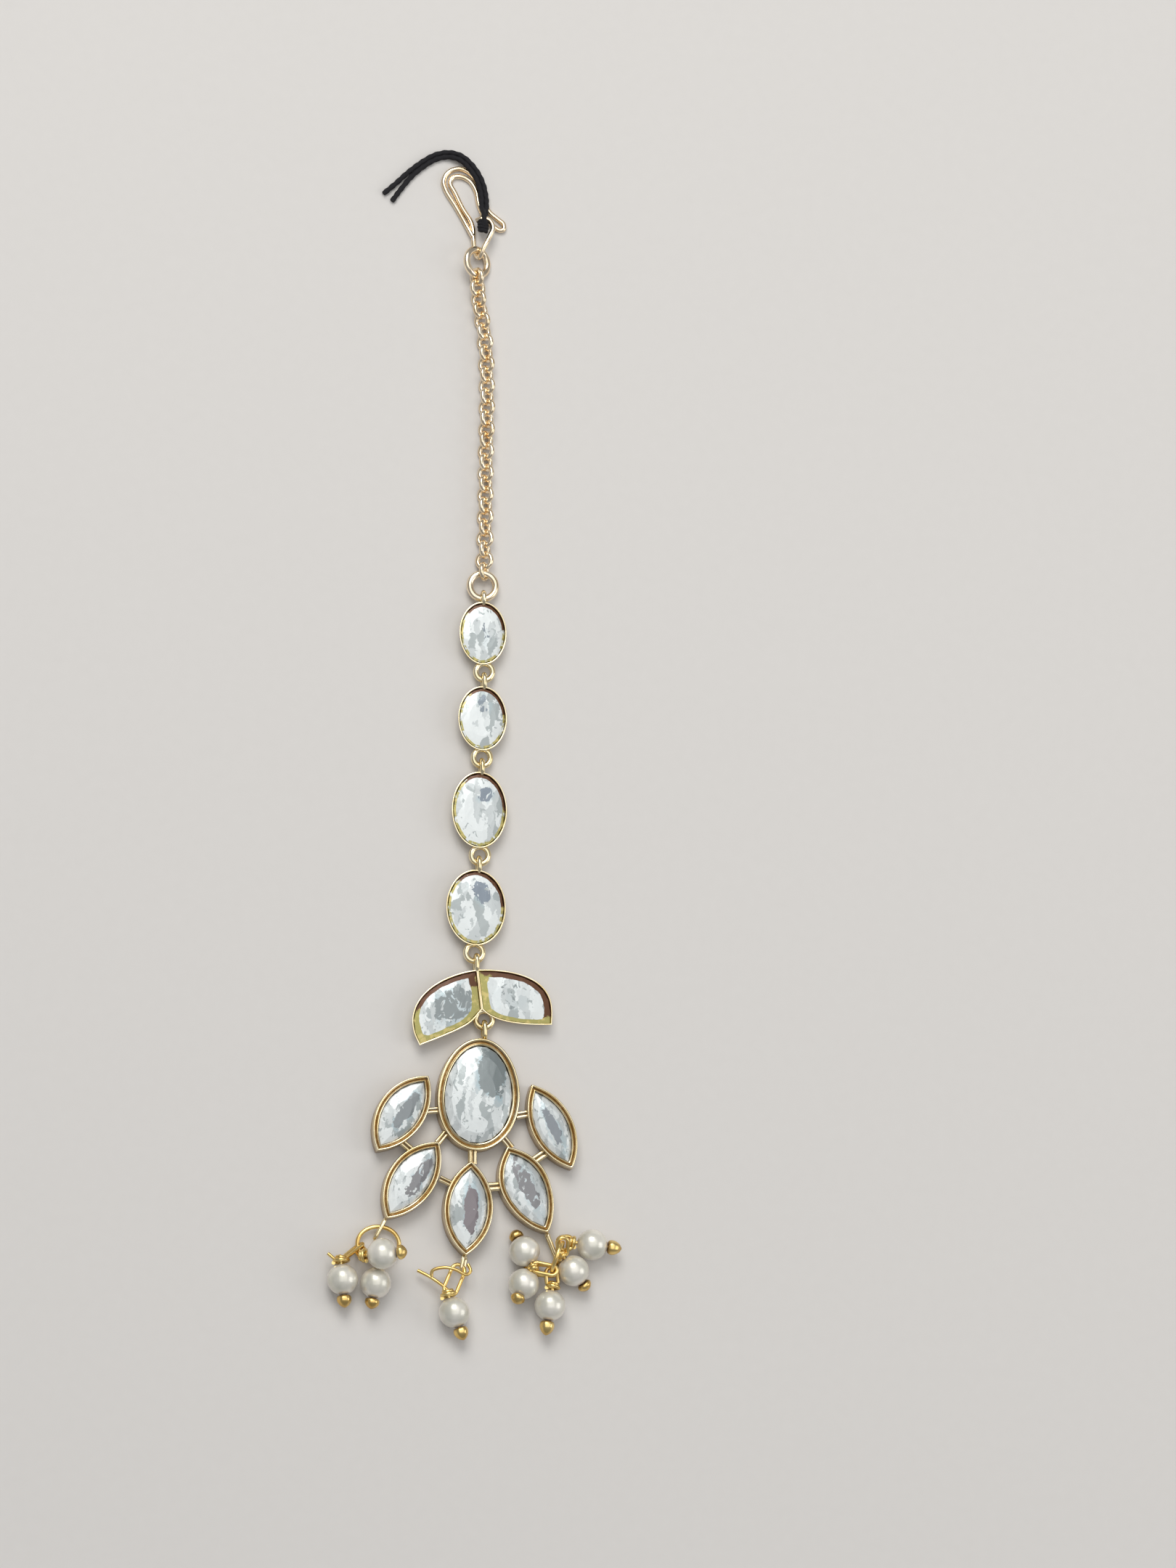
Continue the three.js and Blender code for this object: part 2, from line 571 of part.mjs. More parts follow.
function tipLoop({ petal, endX, endY, z, width, through }) {
  const { toX, toY } = PETALS[petal];
  return wireLoop({
    start: new THREE.Vector3(toX, toY + TIP_LOOP_SEAT, z),
    end: new THREE.Vector3(endX, endY, z),
    width,
    wire: TIP_LOOP_WIRE,
    through: new THREE.Vector3(...through),
  });
}

function addFan() {
  const oval = ovalOutline(FAN_OVAL, FAN_OVAL_SIDES);
  const petals = PETALS.map((petal) => petalOutline(petal, PETAL_ARC_STEPS));
  const bailFoot = FAN_OVAL.y + FAN_OVAL.height / 2 - FAN_BAIL_SEAT;
  const setting = fused([
    bezel(oval),
    ...petals.map(bezel),
    ...LUGS.map(lug),
    ...TIP_LOOPS.map(tipLoop),
    bail(LEAF_RING.x, bailFoot, LEAF_RING.y - FLAT_RING.radius, FLAT_RING.wire),
  ]);
  addPiece("fan_setting", setting, GOLD);
  addPiece("fan_oval_stone", stone(oval.filter((_, k) => k % 2 === 0), FAN_STONE), GLASS);
  petals.forEach((petal, i) => addPiece(`petal_stone_${i + 1}`, stone(petal, PETAL_STONE), GLASS));
}

function addDropRings() {
  const left = jumpRing(1, DROP_RING_WIRE);
  const position = left.getAttribute("position");
  const middleLine = new THREE.Vector3();
  for (let i = 0; i < position.count; i++) {
    middleLine.set(position.getX(i), position.getY(i), 0).normalize();
    position.setX(i, position.getX(i) + middleLine.x * (LEFT_RING.across - 1));
    position.setY(i, position.getY(i) + middleLine.y * (LEFT_RING.along - 1));
  }
  addPiece("left_drop_ring", left.translate(LEFT_RING.x, LEFT_RING.y, LEFT_RING.z), BRASS);
  const right = jumpRing(RIGHT_RING.radius, DROP_RING_WIRE);
  right.rotateX(radians(RIGHT_RING.lean)).rotateZ(radians(RIGHT_RING.turn));
  addPiece("right_drop_ring", right.translate(RIGHT_RING.x, RIGHT_RING.y, RIGHT_RING.z), BRASS);
}

// A drilled ball: a half circle and the wall of its hole, turned about the hole
function pearl() {
  const radius = PEARL.diameter / 2;
  const start = Math.asin(PEARL.hole / PEARL.diameter);
  const profile = Array.from({ length: PEARL.bands + 1 }, (_, i) => {
    const angle = start + (i / PEARL.bands) * (Math.PI - 2 * start);
    return new THREE.Vector2(radius * Math.sin(angle), -radius * Math.cos(angle));
  });
  return new THREE.LatheGeometry([...profile, profile[0]], PEARL.sides);
}

function turnedAlong(geometry, along, position) {
  const turn = new THREE.Quaternion().setFromUnitVectors(Y_AXIS, along);
  return geometry.applyQuaternion(turn).translate(position.x, position.y, position.z);
}

function rod(centre, along, from, to, diameter, sides = WIRE_SIDES) {
  const geometry = new THREE.CylinderGeometry(diameter / 2, diameter / 2, to - from, sides);
  return turnedAlong(geometry, along, centre.clone().addScaledVector(along, (from + to) / 2));
}

function tipBead(reach) {
  const start = PEARL.diameter / 2 + TIP_BEAD_GAP;
  const profile = TIP_BEAD.map((row) => new THREE.Vector2(row.radius, start + row.share * (reach - start)));
  return new THREE.LatheGeometry(profile, TIP_BEAD_SIDES);
}

function addPearl({ x, y, z, tip, reach, eye, width, through }, number) {
  const centre = new THREE.Vector3(x, y, z);
  const toTip = new THREE.Vector3(...tip).normalize();
  const toEye = toTip.clone().negate();
  addPiece(`pearl_${number}`, turnedAlong(pearl(), toTip, centre), PEARL_COAT);
  const collarStart = PEARL.diameter / 2 + COLLAR.gap;
  const eyeStart = collarStart + COLLAR.eyeFrom;
  const strays = STRAY_ENDS.filter((end) => end.pearl === number);
  const pin = fused([
    turnedAlong(tipBead(reach), toTip, centre),
    rod(centre, toTip, -eyeStart, PIN_END_SHARE * reach, PIN_WIRE, FINE_WIRE_SIDES),
    rod(centre, toEye, collarStart, collarStart + COLLAR.length, COLLAR.diameter, WIRE_SIDES),
    wireLoop({
      start: centre.clone().addScaledVector(toEye, eyeStart),
      end: new THREE.Vector3(...eye),
      width,
      wire: PIN_WIRE,
      through: new THREE.Vector3(...through),
    }),
    ...strays.map((end) => bentWire(end.points, STRAY_WIRE, end.points.length * 2, FINE_WIRE_SIDES)),
  ]);
  addPiece(`pearl_pin_${number}`, pin, BRASS);
}

addHook();
addThread();
addChain();
addLeaves(addOvals());
addFan();
addDropRings();
PEARLS.forEach((row, i) => addPearl(row, i + 1));

export default jewel;
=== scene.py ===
"""A forehead pendant lying face up: hook and thread, chain, four oval stones, a pair of leaves,
and a fan of six stones with nine pearls. Every piece is a grid of points, or a profile along a line."""
import functools

import bpy
import numpy as np
from mathutils import Matrix


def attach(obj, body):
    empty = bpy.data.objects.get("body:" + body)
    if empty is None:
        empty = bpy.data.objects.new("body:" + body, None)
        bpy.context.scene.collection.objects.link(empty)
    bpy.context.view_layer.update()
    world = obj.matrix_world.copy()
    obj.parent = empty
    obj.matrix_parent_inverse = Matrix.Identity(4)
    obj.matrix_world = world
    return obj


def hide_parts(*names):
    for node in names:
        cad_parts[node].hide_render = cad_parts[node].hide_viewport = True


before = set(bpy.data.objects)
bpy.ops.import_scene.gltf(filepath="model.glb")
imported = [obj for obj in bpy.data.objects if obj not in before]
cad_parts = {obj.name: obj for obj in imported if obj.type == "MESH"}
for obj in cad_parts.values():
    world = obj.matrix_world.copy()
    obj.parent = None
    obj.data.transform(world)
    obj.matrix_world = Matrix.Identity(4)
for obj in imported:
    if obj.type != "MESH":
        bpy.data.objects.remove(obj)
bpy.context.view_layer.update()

bl_info = {
    "name": "Forehead Pendant",
    "version": (1, 0, 0),
    "blender": (4, 5, 0),
    "location": "View3D > Sidebar > Pendant",
    "description": "Builds a hair jewel of foiled glass stones, gold plate and pearls",
    "category": "Add Mesh",
}

MM = 0.001
BODY = "root"
# The drawing's zero lies on the chain's line. The whole jewel moves by this to have its middle at zero.
MIDDLE = np.array([0.03, -1.44, 0.0])
X_AXIS = np.array([1.0, 0.0, 0.0])
Y_AXIS = np.array([0.0, 1.0, 0.0])
Z_AXIS = np.array([0.0, 0.0, 1.0])
# Nearly upright directions that no wire of the hook or of a pin runs along, to set its section by
HOOK_UP = Z_AXIS + 0.02 * X_AXIS
PIN_UP = Z_AXIS + 0.1 * X_AXIS

# Tables are in millimetres, in the drawing's own coordinates.
LINK_HEIGHT = 1.16
FLAT_RING_RADIUS = 1.12
BAIL_RADIUS = 0.8
BAIL_GAP = 0.07
# How far bails and tip loops reach past the edge of the setting that they are soldered to
BAIL_SEAT = 0.08
FAN_BAIL_SEAT = 0.05
TIP_LOOP_SEAT = 0.1
RING_BELOW_CUP = 0.85
CUP = {"height": 2.0, "flare": 0.75}
HOOK_RING = {"x": 0.36, "y": 66.49, "z": 1.41, "radius": 1.78, "lean": 32.0}
CHAIN_RING = {"x": 1.16, "y": 22.4, "radius": 1.72}

# Links bite a little into each other, as in the fused chain, and roll from one to the next.
LINK = {"count": 28, "hole_width": 1.3, "bite": 0.18, "steps": 20, "quarter_turn": 90.0}
CHAIN_ROLL = {"first": -58.0, "middle": -45.0, "last": -30.0, "over": 6}
CHAIN_ROUTE = [
    (0.36, 64.5, 1.405), (0.65, 61.3, 1.15), (1.16, 58.35, 1.09), (1.54, 55.39, 1.06), (1.73, 50.7, 1.04),
    (1.73, 45.0, 1.04), (1.6, 39.39, 1.04), (1.53, 33.03, 1.055), (1.46, 28.5, 1.14), (1.34, 24.37, 1.21),
]

HOOK_BEND = [
    (-0.13, 70.26, 0.75), (-1.06, 72.13, 0.4), (-2.33, 74.4, 0.34), (-3.7, 76.65, 0.34),
    (-4.0, 77.85, 0.34), (-3.41, 79.09, 0.34), (-1.94, 79.71, 0.34), (-0.5, 79.2, 0.34),
    (0.75, 77.6, 0.34), (1.45, 75.5, 0.34), (2.1, 74.0, 0.34), (3.3, 72.95, 0.36), (4.05, 72.3, 0.4),
    (4.1, 71.55, 0.42), (3.5, 71.4, 0.42), (2.55, 72.1, 0.38), (1.5, 73.15, 0.34), (0.75, 74.9, 0.34),
    (0.4, 76.65, 0.34), (-0.4, 78.0, 0.34), (-1.55, 78.6, 0.34), (-2.72, 78.45, 0.34),
    (-3.1, 77.6, 0.34), (-2.45, 76.3, 0.34), (-1.45, 74.24, 0.34), (-0.62, 72.95, 0.36),
]
HOOK_EYE = [
    (-0.9, 73.4, 0.34), (-0.35, 72.45, 0.4), (-0.05, 71.3, 0.5), (0.0, 69.9, 0.58), (0.2, 68.3, 0.58),
    (0.62, 67.22, 1.24), (1.12, 68.3, 1.88), (1.95, 69.93, 1.86), (2.45, 71.28, 1.85),
    (1.95, 72.35, 1.8), (1.04, 72.55, 1.7), (0.25, 72.3, 1.35),
]

# The thread's two strands run side by side: their middle line, and half the distance between them
STRAND_COLUMNS = ("x", "y", "z", "half")
STRAND_ROUTE = [
    (-11.5, 75.3, 0.3, 0.75), (-10.0, 77.0, 0.3, 0.5), (-8.4, 78.75, 0.3, 0.36), (-6.25, 80.5, 0.3, 0.31),
    (-4.9, 81.25, 0.32, 0.31), (-3.41, 81.55, 0.5, 0.31), (-1.98, 81.2, 0.8, 0.31),
    (-0.94, 80.4, 1.0, 0.31), (0.22, 79.0, 1.02, 0.31), (1.0, 77.3, 1.02, 0.31),
    (1.36, 75.4, 1.04, 0.31), (1.36, 74.2, 1.15, 0.31),
]
THREAD_TURN = [
    (1.15, 73.3, 2.0), (1.2, 72.5, 2.42), (1.22, 71.55, 2.25), (1.25, 71.1, 1.65), (1.28, 71.6, 1.05),
    (1.4, 72.5, 1.0),
]
# How far the plies swell the thread, how long a turn of them is, and where, along the model's Y, the
# section starts to turn with the strands as they dive into the hook's eye
TWIST = {"largest": 1.12, "swell": 0.1, "pitch": 2.2, "turn_from": 75.5, "turn_over": 3.0}
KNOT = {"x": 1.15, "y": 71.5, "z": 1.65, "radius": 0.52, "turns": 3.6, "height": 1.5, "ends": 0.75}

OVAL_COLUMNS = ("x", "y", "width", "height", "ring_x", "bail_x")
OVALS = [
    (1.09, 15.89, 6.25, 8.4, 1.35, 1.22),
    (1.03, 4.46, 6.45, 8.55, 1.04, 1.3),
    (0.61, -7.76, 7.28, 10.1, 0.77, 1.0),
    (0.16, -20.72, 7.83, 9.98, 0.04, 0.62),
]
LEAF_TOP = (0.32, -28.9)
LEAF_INNER = (0.95, -34.15)
LEAF_TIPS = {"left": (-7.24, -39.01), "right": (10.13, -35.94)}
LEAF_RING = {"x": 1.32, "y": -35.31, "bail_x": 0.3}

FAN_OVAL = {"x": 0.47, "y": -45.27, "width": 10.8, "height": 14.7, "turn": -4.0, "egg": 0.05}
PETAL_COLUMNS = ("from_x", "from_y", "to_x", "to_y", "west", "east", "lean")
PETALS = [
    (-6.08, -42.99, -12.74, -52.88, 3.3, 2.85, 0.0),
    (-4.69, -51.56, -11.49, -61.6, 3.3, 2.85, 0.0),
    (-0.49, -53.98, -1.19, -66.23, 3.25, 3.2, 0.0),
    (4.21, -52.0, 9.48, -63.09, 3.3, 3.15, 0.1),
    (7.42, -43.84, 12.71, -54.74, 2.75, 2.85, 0.0),
]
LUG_COLUMNS = ("x", "y", "length", "width", "turn")
LUG_SECTION = {"z": 1.12, "half_height": 0.46, "waist": 0.3, "groove_depth": 0.14, "groove_width": 0.26}
LUGS = [
    (-5.38, -47.36, 1.5, 0.85, 5.0), (-8.87, -52.0, 1.6, 0.95, -40.0), (-4.24, -50.93, 1.7, 0.9, 50.0),
    (-0.21, -53.31, 1.9, 1.15, 90.0), (-3.8, -56.48, 1.5, 0.8, -25.0), (2.59, -57.13, 1.6, 1.15, 5.0),
    (4.3, -51.34, 1.9, 0.9, -50.0), (6.3, -47.7, 1.6, 1.0, 10.0), (8.5, -53.18, 2.5, 1.1, 35.0),
]
TIP_LOOP_COLUMNS = ("petal", "x", "y", "z", "width", "through")
TIP_LOOPS = [
    (1, -12.9, -64.1, 0.9, 1.1, (1.0, 0.25, 0.0)),
    (2, -1.55, -68.12, 1.1, 1.15, (0.9, 0.0, 0.45)),
    (3, 11.12, -67.0, 0.9, 1.2, (0.36, 0.93, 0.0)),
]
LEFT_RING = {"x": -12.4, "y": -64.7, "z": 0.86, "across": 2.7, "along": 2.2}
RIGHT_RING = {"x": 10.6, "y": -66.3, "z": 2.85, "radius": 2.0, "turn": 69.0, "lean": 80.0}

# Painted shade darkens the cups' walls most on their upper right side; this share of their patina and
# painted shade is even all round, and the rest grows towards that side by the reach.
PAINTED_SHADE_SIDE = (0.5, 0.87)
EVEN_PATINA_AND_SHADE = 0.3
SHADE_REACH = 1.3
# A wall's section, from its foot over its rim and down inside, with how much dark patina and painted shade
# it holds
SECTION_COLUMNS = ("inset", "height", "patina")
CUP_ROWS = [
    (0.8, 0.0, 0.7), (0.74, 0.05, 0.6), (0.06, 1.84, 0.15), (0.0, 1.93, 0.0), (0.02, 1.985, 0.0),
    (0.07, 2.0, 0.0), (0.13, 1.985, 0.0), (0.17, 1.92, 0.3), (0.2, 1.8, 0.9), (0.27, 1.6, 1.0),
    (0.36, 1.4, 1.0), (0.9, 0.5, 1.0),
]
# The petals' walls are thinner than the large oval's by this share.
PETAL_WALL = 0.78
LEAF_BASE_ROWS = [(0.8, 0.0, 0.7), (0.74, 0.05, 0.6), (0.62, 0.4, 0.5), (0.7, 0.44, 0.5)]
BEZEL_ROWS = [
    (0.1, 0.0, 0.8), (0.0, 0.1, 0.7), (0.0, 1.2, 0.55), (0.0, 1.9, 0.45), (0.01, 2.12, 0.3),
    (0.04, 2.26, 0.1), (0.1, 2.33, 0.0), (0.18, 2.35, 0.0), (0.27, 2.33, 0.0), (0.33, 2.27, 0.15),
    (0.4, 2.18, 0.8), (0.5, 2.11, 1.0), (0.6, 2.09, 0.95), (0.68, 2.13, 0.45), (0.74, 2.21, 0.05),
    (0.82, 2.24, 0.0), (0.9, 2.21, 0.05), (0.95, 2.08, 0.6), (0.98, 1.8, 0.9), (1.0, 1.45, 1.0),
    (1.0, 0.6, 1.0),
]
# A stone's rows of facet corners: inset of the girdle and base, then shares of the girdle, and heights.
# A painted image of the gold wall covers the glass near the edge as far as "edge" says. It is painted brown
# shade on the shaded side, past
# "brown", and elsewhere it is broken up unless it is "unbroken".
STONE_FACETS = {"cup": 16, "fan": 18, "petal": 14}
CUP_STONE = {
    "base": (0.96, 0.56), "girdle": (0.26, 1.66), "crown": [(0.82, 1.76), (0.6, 1.84)],
    "edge": 1.25, "brown": 0.5, "unbroken": 0.0,
}
LEAF_STONE = {
    "base": (0.96, 0.56), "girdle": (0.26, 1.66), "crown": [(0.66, 1.78), (0.48, 1.84)],
    "edge": 1.4, "brown": 0.12, "unbroken": 1.0,
}
FAN_STONE = {
    "base": (1.06, 0.66), "girdle": (1.0, 1.95), "crown": [(0.8, 2.32), (0.5, 2.62), (0.3, 2.7)],
    "edge": 0.5, "brown": 0.9, "unbroken": 0.0,
}
PETAL_STONE = {
    "base": (1.06, 0.66), "girdle": (0.78, 1.82), "crown": [(0.74, 2.04), (0.45, 2.18)],
    "edge": 0.45, "brown": 0.6, "unbroken": 0.0,
}

# The side of each leaf on which painted shade of the gold wall is laid near the stone's edge
LEAF_SHADE = {"left": (-0.45, 0.89), "right": PAINTED_SHADE_SIDE}

# Where a stone's foil shows its dark patch, in shares of half the stone: its middle and its radii across
# and along, its turn, how whole it is, how mauve and how blue. One that isn't whole breaks into crinkles.
PATCH_COLUMNS = ("across", "along", "half_width", "half_length", "turn", "whole", "mauve", "blue")
PATCHES = {
    "oval_stone_1": (0.1, -0.1, 0.3, 0.4, 0.0, 0.25, 0.0, 0.6),
    "oval_stone_2": (0.1, 0.5, 0.3, 0.3, 0.0, 0.4, 0.0, 0.8),
    "oval_stone_3": (0.25, 0.42, 0.28, 0.2, 10.0, 0.5, 0.0, 1.0),
    "oval_stone_4": (0.25, 0.42, 0.38, 0.27, -20.0, 0.55, 0.0, 1.0),
    "leaf_stone_left": (0.25, 0.2, 0.55, 0.45, 20.0, 0.6, 0.0, 0.0),
    "leaf_stone_right": (0.1, 0.25, 0.5, 0.3, 0.0, 0.12, 0.0, 0.0),
    "fan_oval_stone": (0.38, 0.5, 0.45, 0.52, 0.0, 1.0, 0.0, 0.0),
    "petal_stone_1": (0.15, 0.1, 0.34, 0.5, 0.0, 0.9, 0.15, 0.1),
    "petal_stone_2": (0.3, 0.15, 0.36, 0.6, 0.0, 0.7, 0.45, 0.0),
    "petal_stone_3": (0.1, 0.0, 0.36, 0.66, 0.0, 0.9, 0.8, 0.0),
    "petal_stone_4": (0.1, 0.05, 0.36, 0.66, 0.0, 0.55, 0.45, 0.0),
    "petal_stone_5": (0.05, 0.0, 0.36, 0.6, 0.0, 0.8, 0.3, 0.4),
}

# A tip bead's profile: radius, share of the reach, and how much patina and painted shade darken it there,
# most where it meets the pearl
TIP_BEAD_COLUMNS = ("radius", "share", "patina")
TIP_BEAD = [
    (0.3, 0.0, 0.9), (0.62, 0.0, 0.8), (0.84, 0.1, 0.35), (0.92, 0.24, 0.05), (0.92, 0.4, 0.0),
    (0.84, 0.56, 0.1), (0.68, 0.72, 0.2), (0.46, 0.86, 0.3), (0.22, 0.95, 0.4), (0.04, 0.995, 0.4),
]
PEARL_COLUMNS = ("x", "y", "z", "tip", "reach", "eye", "width", "through", "coil")
PEARLS = [
    (-17.15, -69.5, 2.02, (0.09, -1.0, 0.0), 3.65, (-14.5, -64.72, 0.6), 1.15, (0.0, 1.0, 0.0), 0.98),
    (-12.88, -69.9, 2.02, (-0.18, -1.0, 0.0), 3.4, (-12.4, -66.4, 0.34), 1.12, (1.0, 0.0, 0.0), 0.55),
    (-12.3, -66.4, 4.28, (0.9, 0.06, 0.42), 3.3, (-14.85, -65.3, 0.34), 1.12, (0.5, -0.87, 0.0), 0.72),
    (-2.68, -73.55, 2.02, (0.33, -0.94, 0.0), 3.75, (-1.75, -67.35, 1.15), 1.75, (0.0, 0.0, 1.0), 0.9),
    (6.46, -65.54, 2.02, (-0.4, 0.9, -0.45), 3.35, (10.45, -68.2, 3.3), 1.25, (0.0, 0.0, 1.0), 0.55),
    (6.34, -69.73, 2.02, (-0.42, -0.9, 0.45), 3.2, (10.68, -68.04, 1.9), 1.35, (0.0, 0.0, 1.0), 0.6),
    (9.76, -72.49, 2.02, (-0.15, -0.99, 0.0), 3.9, (9.85, -67.6, 2.5), 1.5, (0.0, 0.0, 1.0), 0.78),
    (12.85, -67.95, 2.02, (0.62, -0.75, -0.2), 3.2, (11.2, -63.9, 3.7), 1.3, (0.0, 0.0, 1.0), 0.55),
    (15.29, -64.56, 2.02, (0.99, -0.12, 0.0), 3.9, (10.7, -64.5, 2.2), 1.7, (0.0, 0.0, 1.0), 0.62),
]
PEARL_HOLE = 0.66
TIP_BEAD_GAP = 0.03
# The wound wire above each pearl: it starts a gap from the pearl, a little nearer the wider it is, and
# draws in to its inner radius. The pin runs from the eye to this share of the tip's reach.
COLLAR = {"gap": 0.08, "nearer": 0.12, "eye_from": 0.36, "turns": 2.3, "inner": 0.3, "pitch": 0.36}
PIN_SHARE = 0.8
TIP_BEAD_LOBES = {"count": 6, "depth": 0.035}
STRAY_ENDS = {
    1: [[(-17.35, -67.2, 2.1), (-18.1, -67.0, 2.4), (-19.1, -66.2, 2.3)]],
    4: [
        [(-3.2, -71.0, 2.0), (-4.21, -70.07, 1.9), (-5.77, -68.97, 1.6), (-7.36, -68.11, 1.3)],
        [(-5.6, -69.0, 1.65), (-5.5, -68.2, 1.9), (-4.0, -67.8, 2.3), (-2.5, -68.1, 2.45),
         (-1.2, -68.7, 2.4), (-0.6, -68.2, 2.2), (-0.9, -67.3, 1.95)],
    ],
}

# The photograph's camera: where it stands, how it is turned, and its focal length on a 36 mm sensor
CAMERA = {
    "x": -110.17, "y": -151.46, "z": 738.86, "azimuth": -40.5928, "elevation": 75.3670, "roll": -0.2191,
}
LENS_MM = 133.33
SENSOR_MM = 36.0
# Square lamps that face the jewel, in metres, and the tint of the even light round it
LAMP_COLUMNS = ("name", "x", "y", "z", "size")
LAMPS = [
    ("softbox", 0.0, 0.15, 1.3, 1.4),
    ("key_lamp", -0.12, 0.42, 0.6, 0.4),
    ("fill_lamp", 0.55, -0.1, 0.35, 0.35),
]
SKY_TINT = (0.9, 0.93, 1.0, 1.0)

# Sizes of the materials' patterns in millimetres. The thread's fibre is drawn coarse enough to show.
PATTERN_MM = {
    "worn plate": 2.5, "grime_and_shade": 0.5, "foil tears": 1.5, "foil fields": 0.9, "foil creases": 0.8,
    "gold glow": 1.4, "gold speckle": 0.9, "nacre clouds": 2.0, "nacre pores": 0.35, "fibre": 0.12,
    "paint roller": 1.5,
}


def table(columns, rows):
    return [dict(zip(columns, row)) for row in rows]


def at(point):
    """A point of the drawing, in millimetres, as a point of the model, in metres."""
    return (np.asarray(point, dtype=float) + MIDDLE) * MM


def unit(vectors):
    """Vectors divided by their lengths."""
    vectors = np.asarray(vectors, dtype=float)
    return vectors / np.linalg.norm(vectors, axis=-1, keepdims=True)


def linear(hex_colour):
    """An sRGB hex colour as linear red, green, blue and alpha."""
    srgb = np.array([int(hex_colour[i : i + 2], 16) for i in (1, 3, 5)]) / 255
    lit = np.where(srgb <= 0.04045, srgb / 12.92, ((srgb + 0.055) / 1.055) ** 2.4)
    return (*lit.tolist(), 1.0)


# Lines


def through_points(points, per, closed=False, corners=()):
    """A centripetal Catmull-Rom curve: between two points, a cubic whose end slopes come from the
    distances to the neighbours, to the power of one half. A corner keeps its two sides apart."""
    points = np.asarray(points, dtype=float)
    if closed:
        start, end = points, np.roll(points, -1, axis=0)
        before, after = np.roll(points, 1, axis=0), np.roll(points, -2, axis=0)
        sharp = np.zeros(len(points), dtype=bool)
        sharp[list(corners)] = True
        before = np.where(sharp[:, None], 2 * start - end, before)
        after = np.where(np.roll(sharp, -1)[:, None], 2 * end - start, after)
    else:
        whole = np.concatenate([[2 * points[0] - points[1]], points, [2 * points[-1] - points[-2]]])
        before, start, end, after = whole[:-3], whole[1:-2], whole[2:-1], whole[3:]
    spans = ((before, start), (start, end), (end, after))
    first, own, last = (np.sqrt(np.linalg.norm(b - a, axis=1))[:, None] for a, b in spans)
    chord = (end - start) / own
    slope_a = ((start - before) / first - (end - before) / (first + own) + chord) * own
    slope_b = (chord - (after - start) / (own + last) + (after - end) / last) * own
    t = np.linspace(0, 1, per, endpoint=False)[None, :, None]
    start, end, slope_a, slope_b = (a[:, None, :] for a in (start, end, slope_a, slope_b))
    curve = (2 * t**3 - 3 * t**2 + 1) * start + (t**3 - 2 * t**2 + t) * slope_a
    curve = curve + (3 * t**2 - 2 * t**3) * end + (t**3 - t**2) * slope_b
    curve = curve.reshape(-1, points.shape[1])
    return curve if closed else np.concatenate([curve, points[-1:]])


def evenly(path, count):
    """The same line with its points at equal distances along it."""
    along = np.concatenate([[0], np.cumsum(np.linalg.norm(np.diff(path, axis=0), axis=1))])
    wanted = np.linspace(0, along[-1], count)
    return np.stack([np.interp(wanted, along, path[:, k]) for k in range(path.shape[1])], axis=1)


def path_length(path):
    return float(np.linalg.norm(np.diff(path, axis=0), axis=1).sum())


def stadium(start, end, width, through, count):
    """A closed oval line from start to end: a circle of the width whose two halves are drawn apart.
    It lies square to the direction in which another wire passes it."""
    start, end = np.asarray(start, dtype=float), np.asarray(end, dtype=float)
    along = unit(end - start)
    side = unit(np.cross(along, through))
    radius = width / 2
    stretch = max(0.0, np.linalg.norm(end - start) / 2 - radius)
    angle = (np.arange(count) + 0.5) / count * 2 * np.pi
    height = radius * np.sin(angle)
    height = height + np.sign(height) * stretch
    flat = radius * np.cos(angle)[:, None] * side + height[:, None] * along
    return (start + end) / 2 + flat, np.cross(side, along)


# Shells: closed surfaces with their patina and painted shade and coordinates, joined into one mesh for a
# piece


def lattice(rows, columns, wrap_rows):
    """Quads between the points of a grid that is closed round its columns."""
    row = np.arange(rows if wrap_rows else rows - 1)[:, None]
    column = np.arange(columns)[None, :]
    next_row, next_column = (row + 1) % rows, (column + 1) % columns
    corners = [row * columns + column, row * columns + next_column]
    corners += [next_row * columns + next_column, next_row * columns + column]
    return np.stack(np.broadcast_arrays(*corners), axis=-1).reshape(-1, 4)


def outward(points, faces):
    """Faces turned round if the volume that they hold, summed over fans from zero, is negative."""
    fans = [np.stack([face[..., 0], face[..., k], face[..., k + 1]], axis=-1).reshape(-1, 3)
            for face in faces for k in range(1, face.shape[-1] - 1)]
    a, b, c = (points[np.concatenate(fans)[:, k]] for k in range(3))
    volume = np.einsum("ij,ij->i", a, np.cross(b, c)).sum()
    return faces if volume > 0 else [face[..., ::-1] for face in faces]


def shell(grid, wrap_rows=False, patina=0.0, uv=None):
    """A grid of points closed round its columns. Its first and last rows end in flat faces, unless
    the rows close on themselves."""
    rows, columns = grid.shape[:2]
    points = grid.reshape(-1, 3)
    faces = [lattice(rows, columns, wrap_rows)]
    if not wrap_rows:
        faces.append(np.arange(columns)[None, ::-1])
        faces.append(np.arange(columns)[None, :] + (rows - 1) * columns)
    patina = np.asarray(patina, dtype=float)
    patina = patina if patina.ndim == 2 else patina.reshape(-1, 1)
    shade = np.broadcast_to(patina, (rows, columns)).ravel()
    uv = np.zeros((rows * columns, 2)) if uv is None else uv.reshape(-1, 2)
    return {"points": points, "faces": outward(points, faces), "layers": {"patina": shade}, "uv": uv}


